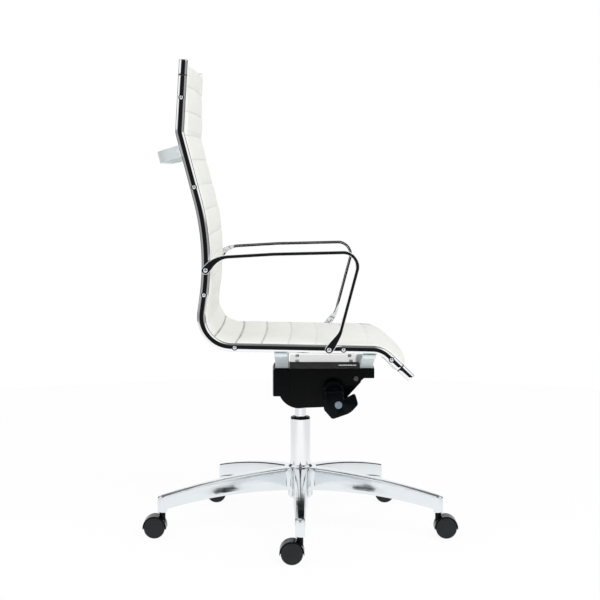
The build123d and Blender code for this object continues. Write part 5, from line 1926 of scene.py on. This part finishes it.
@dataclass
class Column:
    """Chromed stand tube and the black collar in its top.

    Attributes:
        radius: Radius of the tube.
        collar_radius: Radius of the collar above it.
    """

    radius: float = 0.025
    collar_radius: float = 0.0236

    def build(self, shop: PaintShop) -> None:
        """Make the two turned pieces.

        Args:
            shop: Source of the materials.
        """
        tube = rounded_profile(
            [
                (0.0180, 0.0485, 0.0), (0.0200, 0.0480, 0.0004), (0.0200, 0.0740, 0.0),
                (self.radius, 0.1180, 0.004), (self.radius, 0.2700, 0.0009), (0.0232, 0.2700, 0.0004),
                (0.0231, 0.2000, 0.0), (0.0181, 0.0760, 0.0), (0.0180, 0.0485, 0.0),
            ]
        )
        finished(shop, "column_tube", lathe(tube, 128), "base", Finish.CHROME, ("column_stand_tube",))
        collar = rounded_profile(
            [
                (0.01425, 0.1905, 0.0), (0.0230, 0.1905, 0.0), (0.0229, 0.2702, 0.0),
                (self.collar_radius, 0.2704, 0.0003), (self.collar_radius, 0.2742, 0.0012),
                (0.0200, 0.2746, 0.0008), (0.0188, 0.2754, 0.0006), (0.0152, 0.2755, 0.0004),
                (0.01425, 0.2745, 0.0), (0.01425, 0.1905, 0.0),
            ]
        )
        finished(shop, "column_collar", lathe(collar, 96), "base", Finish.BLACK_PLASTIC, ("guide_bush",))


def middle_of(node: str) -> np.ndarray:
    """Middle of a CAD node's box."""
    low, high = (np.array(corner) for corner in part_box(node))
    return (low + high) / 2


@dataclass
class CasterWheels:
    """Pairs of moulded wheels: rounded tread, raised rim ring and a slightly domed face.

    Attributes:
        radius: Radius of a wheel.
        inner: Distance of its inner face from the caster's middle.
        outer: Distance of its outer face.
        axle: Radius of the axle's bore.
    """

    radius: float = 0.025
    inner: float = 0.0063
    outer: float = 0.024
    axle: float = 0.0043

    def wheel(self) -> Surface:
        """One wheel turned about Z, its outer face up.

        Returns:
            The wheel.
        """
        low, high = self.inner, self.outer
        profile = rounded_profile(
            [
                (self.axle, low + 0.0002, 0.0), (0.0085, low + 0.0002, 0.0008),
                (0.0090, low + 0.0040, 0.0010), (0.0195, low + 0.0040, 0.0010), (0.0205, low, 0.0006),
                (self.radius - 0.0014, low, 0.0010), (self.radius, low + 0.0016, 0.0010),
                (self.radius, high - 0.0036, 0.0030), (self.radius - 0.0034, high - 0.0005, 0.0014),
                (self.radius - 0.0044, high - 0.0010, 0.0003),
                (self.radius - 0.0050, high - 0.0002, 0.0005), (0.0100, high, 0.0),
                (self.axle * 0.5, high + 0.0001, 0.0), (0.0, high + 0.0001, 0.0),
            ],
            6,
        )
        bore = [(0.0, high - 0.0020), (self.axle, high - 0.0020)]
        return lathe(bore + profile, 84)

    def build(self, shop: PaintShop) -> None:
        """Make the ten wheels, each in the place of its CAD node.

        Args:
            shop: Source of the materials.
        """
        one = self.wheel()
        for index in range(1, 6):
            for side in Side:
                node = f"caster_{index}_wheel_{side.name.lower()}"
                across, middle = self.axis(index, node)
                axes = np.array([[across[1], -across[0], 0.0], [0.0, 0.0, 1.0], [*across, 0.0]])
                wheel = Surface(one.points @ axes, one.faces).moved((*middle, middle_of(node)[2]))
                body = f"wheel_{index}_{side.name.lower()}"
                finished(shop, node + "_moulding", wheel, body, Finish.CHARCOAL_PLASTIC, (node,))

    def axis(self, index: int, node: str) -> tuple[np.ndarray, np.ndarray]:
        """Direction of a wheel's axle in plan and the middle of its caster.

        The two wheels of a caster are mirror images, so the line through their middles is the axle.

        Args:
            index: Number of the caster.
            node: The wheel's CAD node.

        Returns:
            Unit direction toward the wheel's outer face, and the middle, each in plan.
        """
        left, right = (middle_of(f"caster_{index}_wheel_{side.name.lower()}")[:2] for side in Side)
        middle = (left + right) / 2
        across = middle_of(node)[:2] - middle
        return across / np.linalg.norm(across), middle


# ------------------------------------------------------------------ mechanism and straps
@dataclass(frozen=True)
class Rounded:
    """A CAD node carried over as a piece of its own with its edges broken.

    Attributes:
        node: Name of the node.
        name: Name of the piece.
        body: Body that it rides on.
        finish: Its finish.
        edge: Width of the rounding.
        sharp_deg: Edges that turn more than this are rounded.
        flat_deg: Faces that turn less than this become one.
        merge: Points closer than this become one.
    """

    node: str
    name: str
    body: str
    finish: Finish
    edge: float
    sharp_deg: float = 35.0
    flat_deg: float = 0.6
    merge: float = 1e-5

    def build(self, shop: PaintShop) -> None:
        """Copy, clean and round the node's mesh.

        Args:
            shop: Source of the materials.
        """
        source = frame["nodes"][self.node]
        mesh = source.data.copy()
        mesh.transform(source.matrix_world)
        mesh.name = self.name
        piece = cleaned(mesh, self.sharp_deg, self.merge, self.flat_deg)
        bevel = piece.modifiers.new("edges", "BEVEL")
        bevel.limit_method = "ANGLE"
        bevel.angle_limit = math.radians(self.sharp_deg)
        bevel.width = self.edge
        bevel.segments = 3
        bevel.harden_normals = True
        bevel.use_clamp_overlap = True
        shop.dress(piece, self.body, self.finish, (self.node,))


@dataclass
class SlotBars:
    """Bright slider bars behind the slots in the seat plate's flanges.

    Attributes:
        centre: Middle of the left bar.
        length: Length of a bar.
        radius: Half of its height.
        end_rounding: Rounding of its ends.
        flatness: Thickness as a share of the height.
    """

    centre: Triple = (0.113, 0.0686, 0.410)
    length: float = 0.046
    radius: float = 0.0024
    end_rounding: float = 0.0016
    flatness: float = 0.55

    def build(self, shop: PaintShop) -> None:
        """Make one bar on each side.

        Args:
            shop: Source of the materials.
        """
        x, y, z = self.centre
        path = BentPath(((x - self.length / 2, z), (x + self.length / 2, z)), ())
        stations, inset = eased_ends(0.0, self.length, self.end_rounding, 0.004)
        half = self.radius - inset
        rings = rounded_rectangle(2 * half, 2 * half, half * 0.98, 5)
        bar = swept(path, stations, rings * np.array([self.flatness, 1.0]), y)
        finished(shop, "plate_slot_bars", bar.paired(), "seat", Finish.BRIGHT_STEEL)


ROUNDED_PIECES = (
    Rounded("lower_casting", "tilt_casting", "chassis", Finish.BLACK_ENAMEL, 0.0012),
    Rounded("upper_shell", "tilt_shell", "seat", Finish.BLACK_ENAMEL, 0.0010),
    Rounded("rear_cover", "tilt_rear_cover", "seat", Finish.BLACK_PLASTIC, 0.0012),
    Rounded("seat_plate", "seat_mount_plate", "seat", Finish.DARK_STEEL, 0.0006),
    Rounded("lever_paddle", "lever_grip", "lever", Finish.BLACK_PLASTIC, 0.0020),
    Rounded("tension_knob", "tension_grip", "knob", Finish.BLACK_PLASTIC, 0.0004),
    Rounded("rear_seat_brace", "rear_strap", "seat", Finish.SATIN_ALUMINIUM, 0.0014),
    Rounded("front_seat_brace", "front_strap", "seat", Finish.SATIN_ALUMINIUM, 0.0014),
    Rounded("back_brace", "back_strap", "seat", Finish.SATIN_ALUMINIUM, 0.0012),
)


def main() -> None:
    """Build the studio and every piece in order; each piece's face count goes to the log."""
    logging.basicConfig(level=logging.INFO, format="%(name)s: %(message)s")
    shop = PaintShop()
    shop.coat_nodes()
    Studio().build()
    assemblies = (Sling(), SideRails(), ArmLoop(), StarBase(), Column(), CasterWheels(), SlotBars())
    for assembly in (*assemblies, *ROUNDED_PIECES):
        assembly.build(shop)


if __name__ == "__main__":
    main()
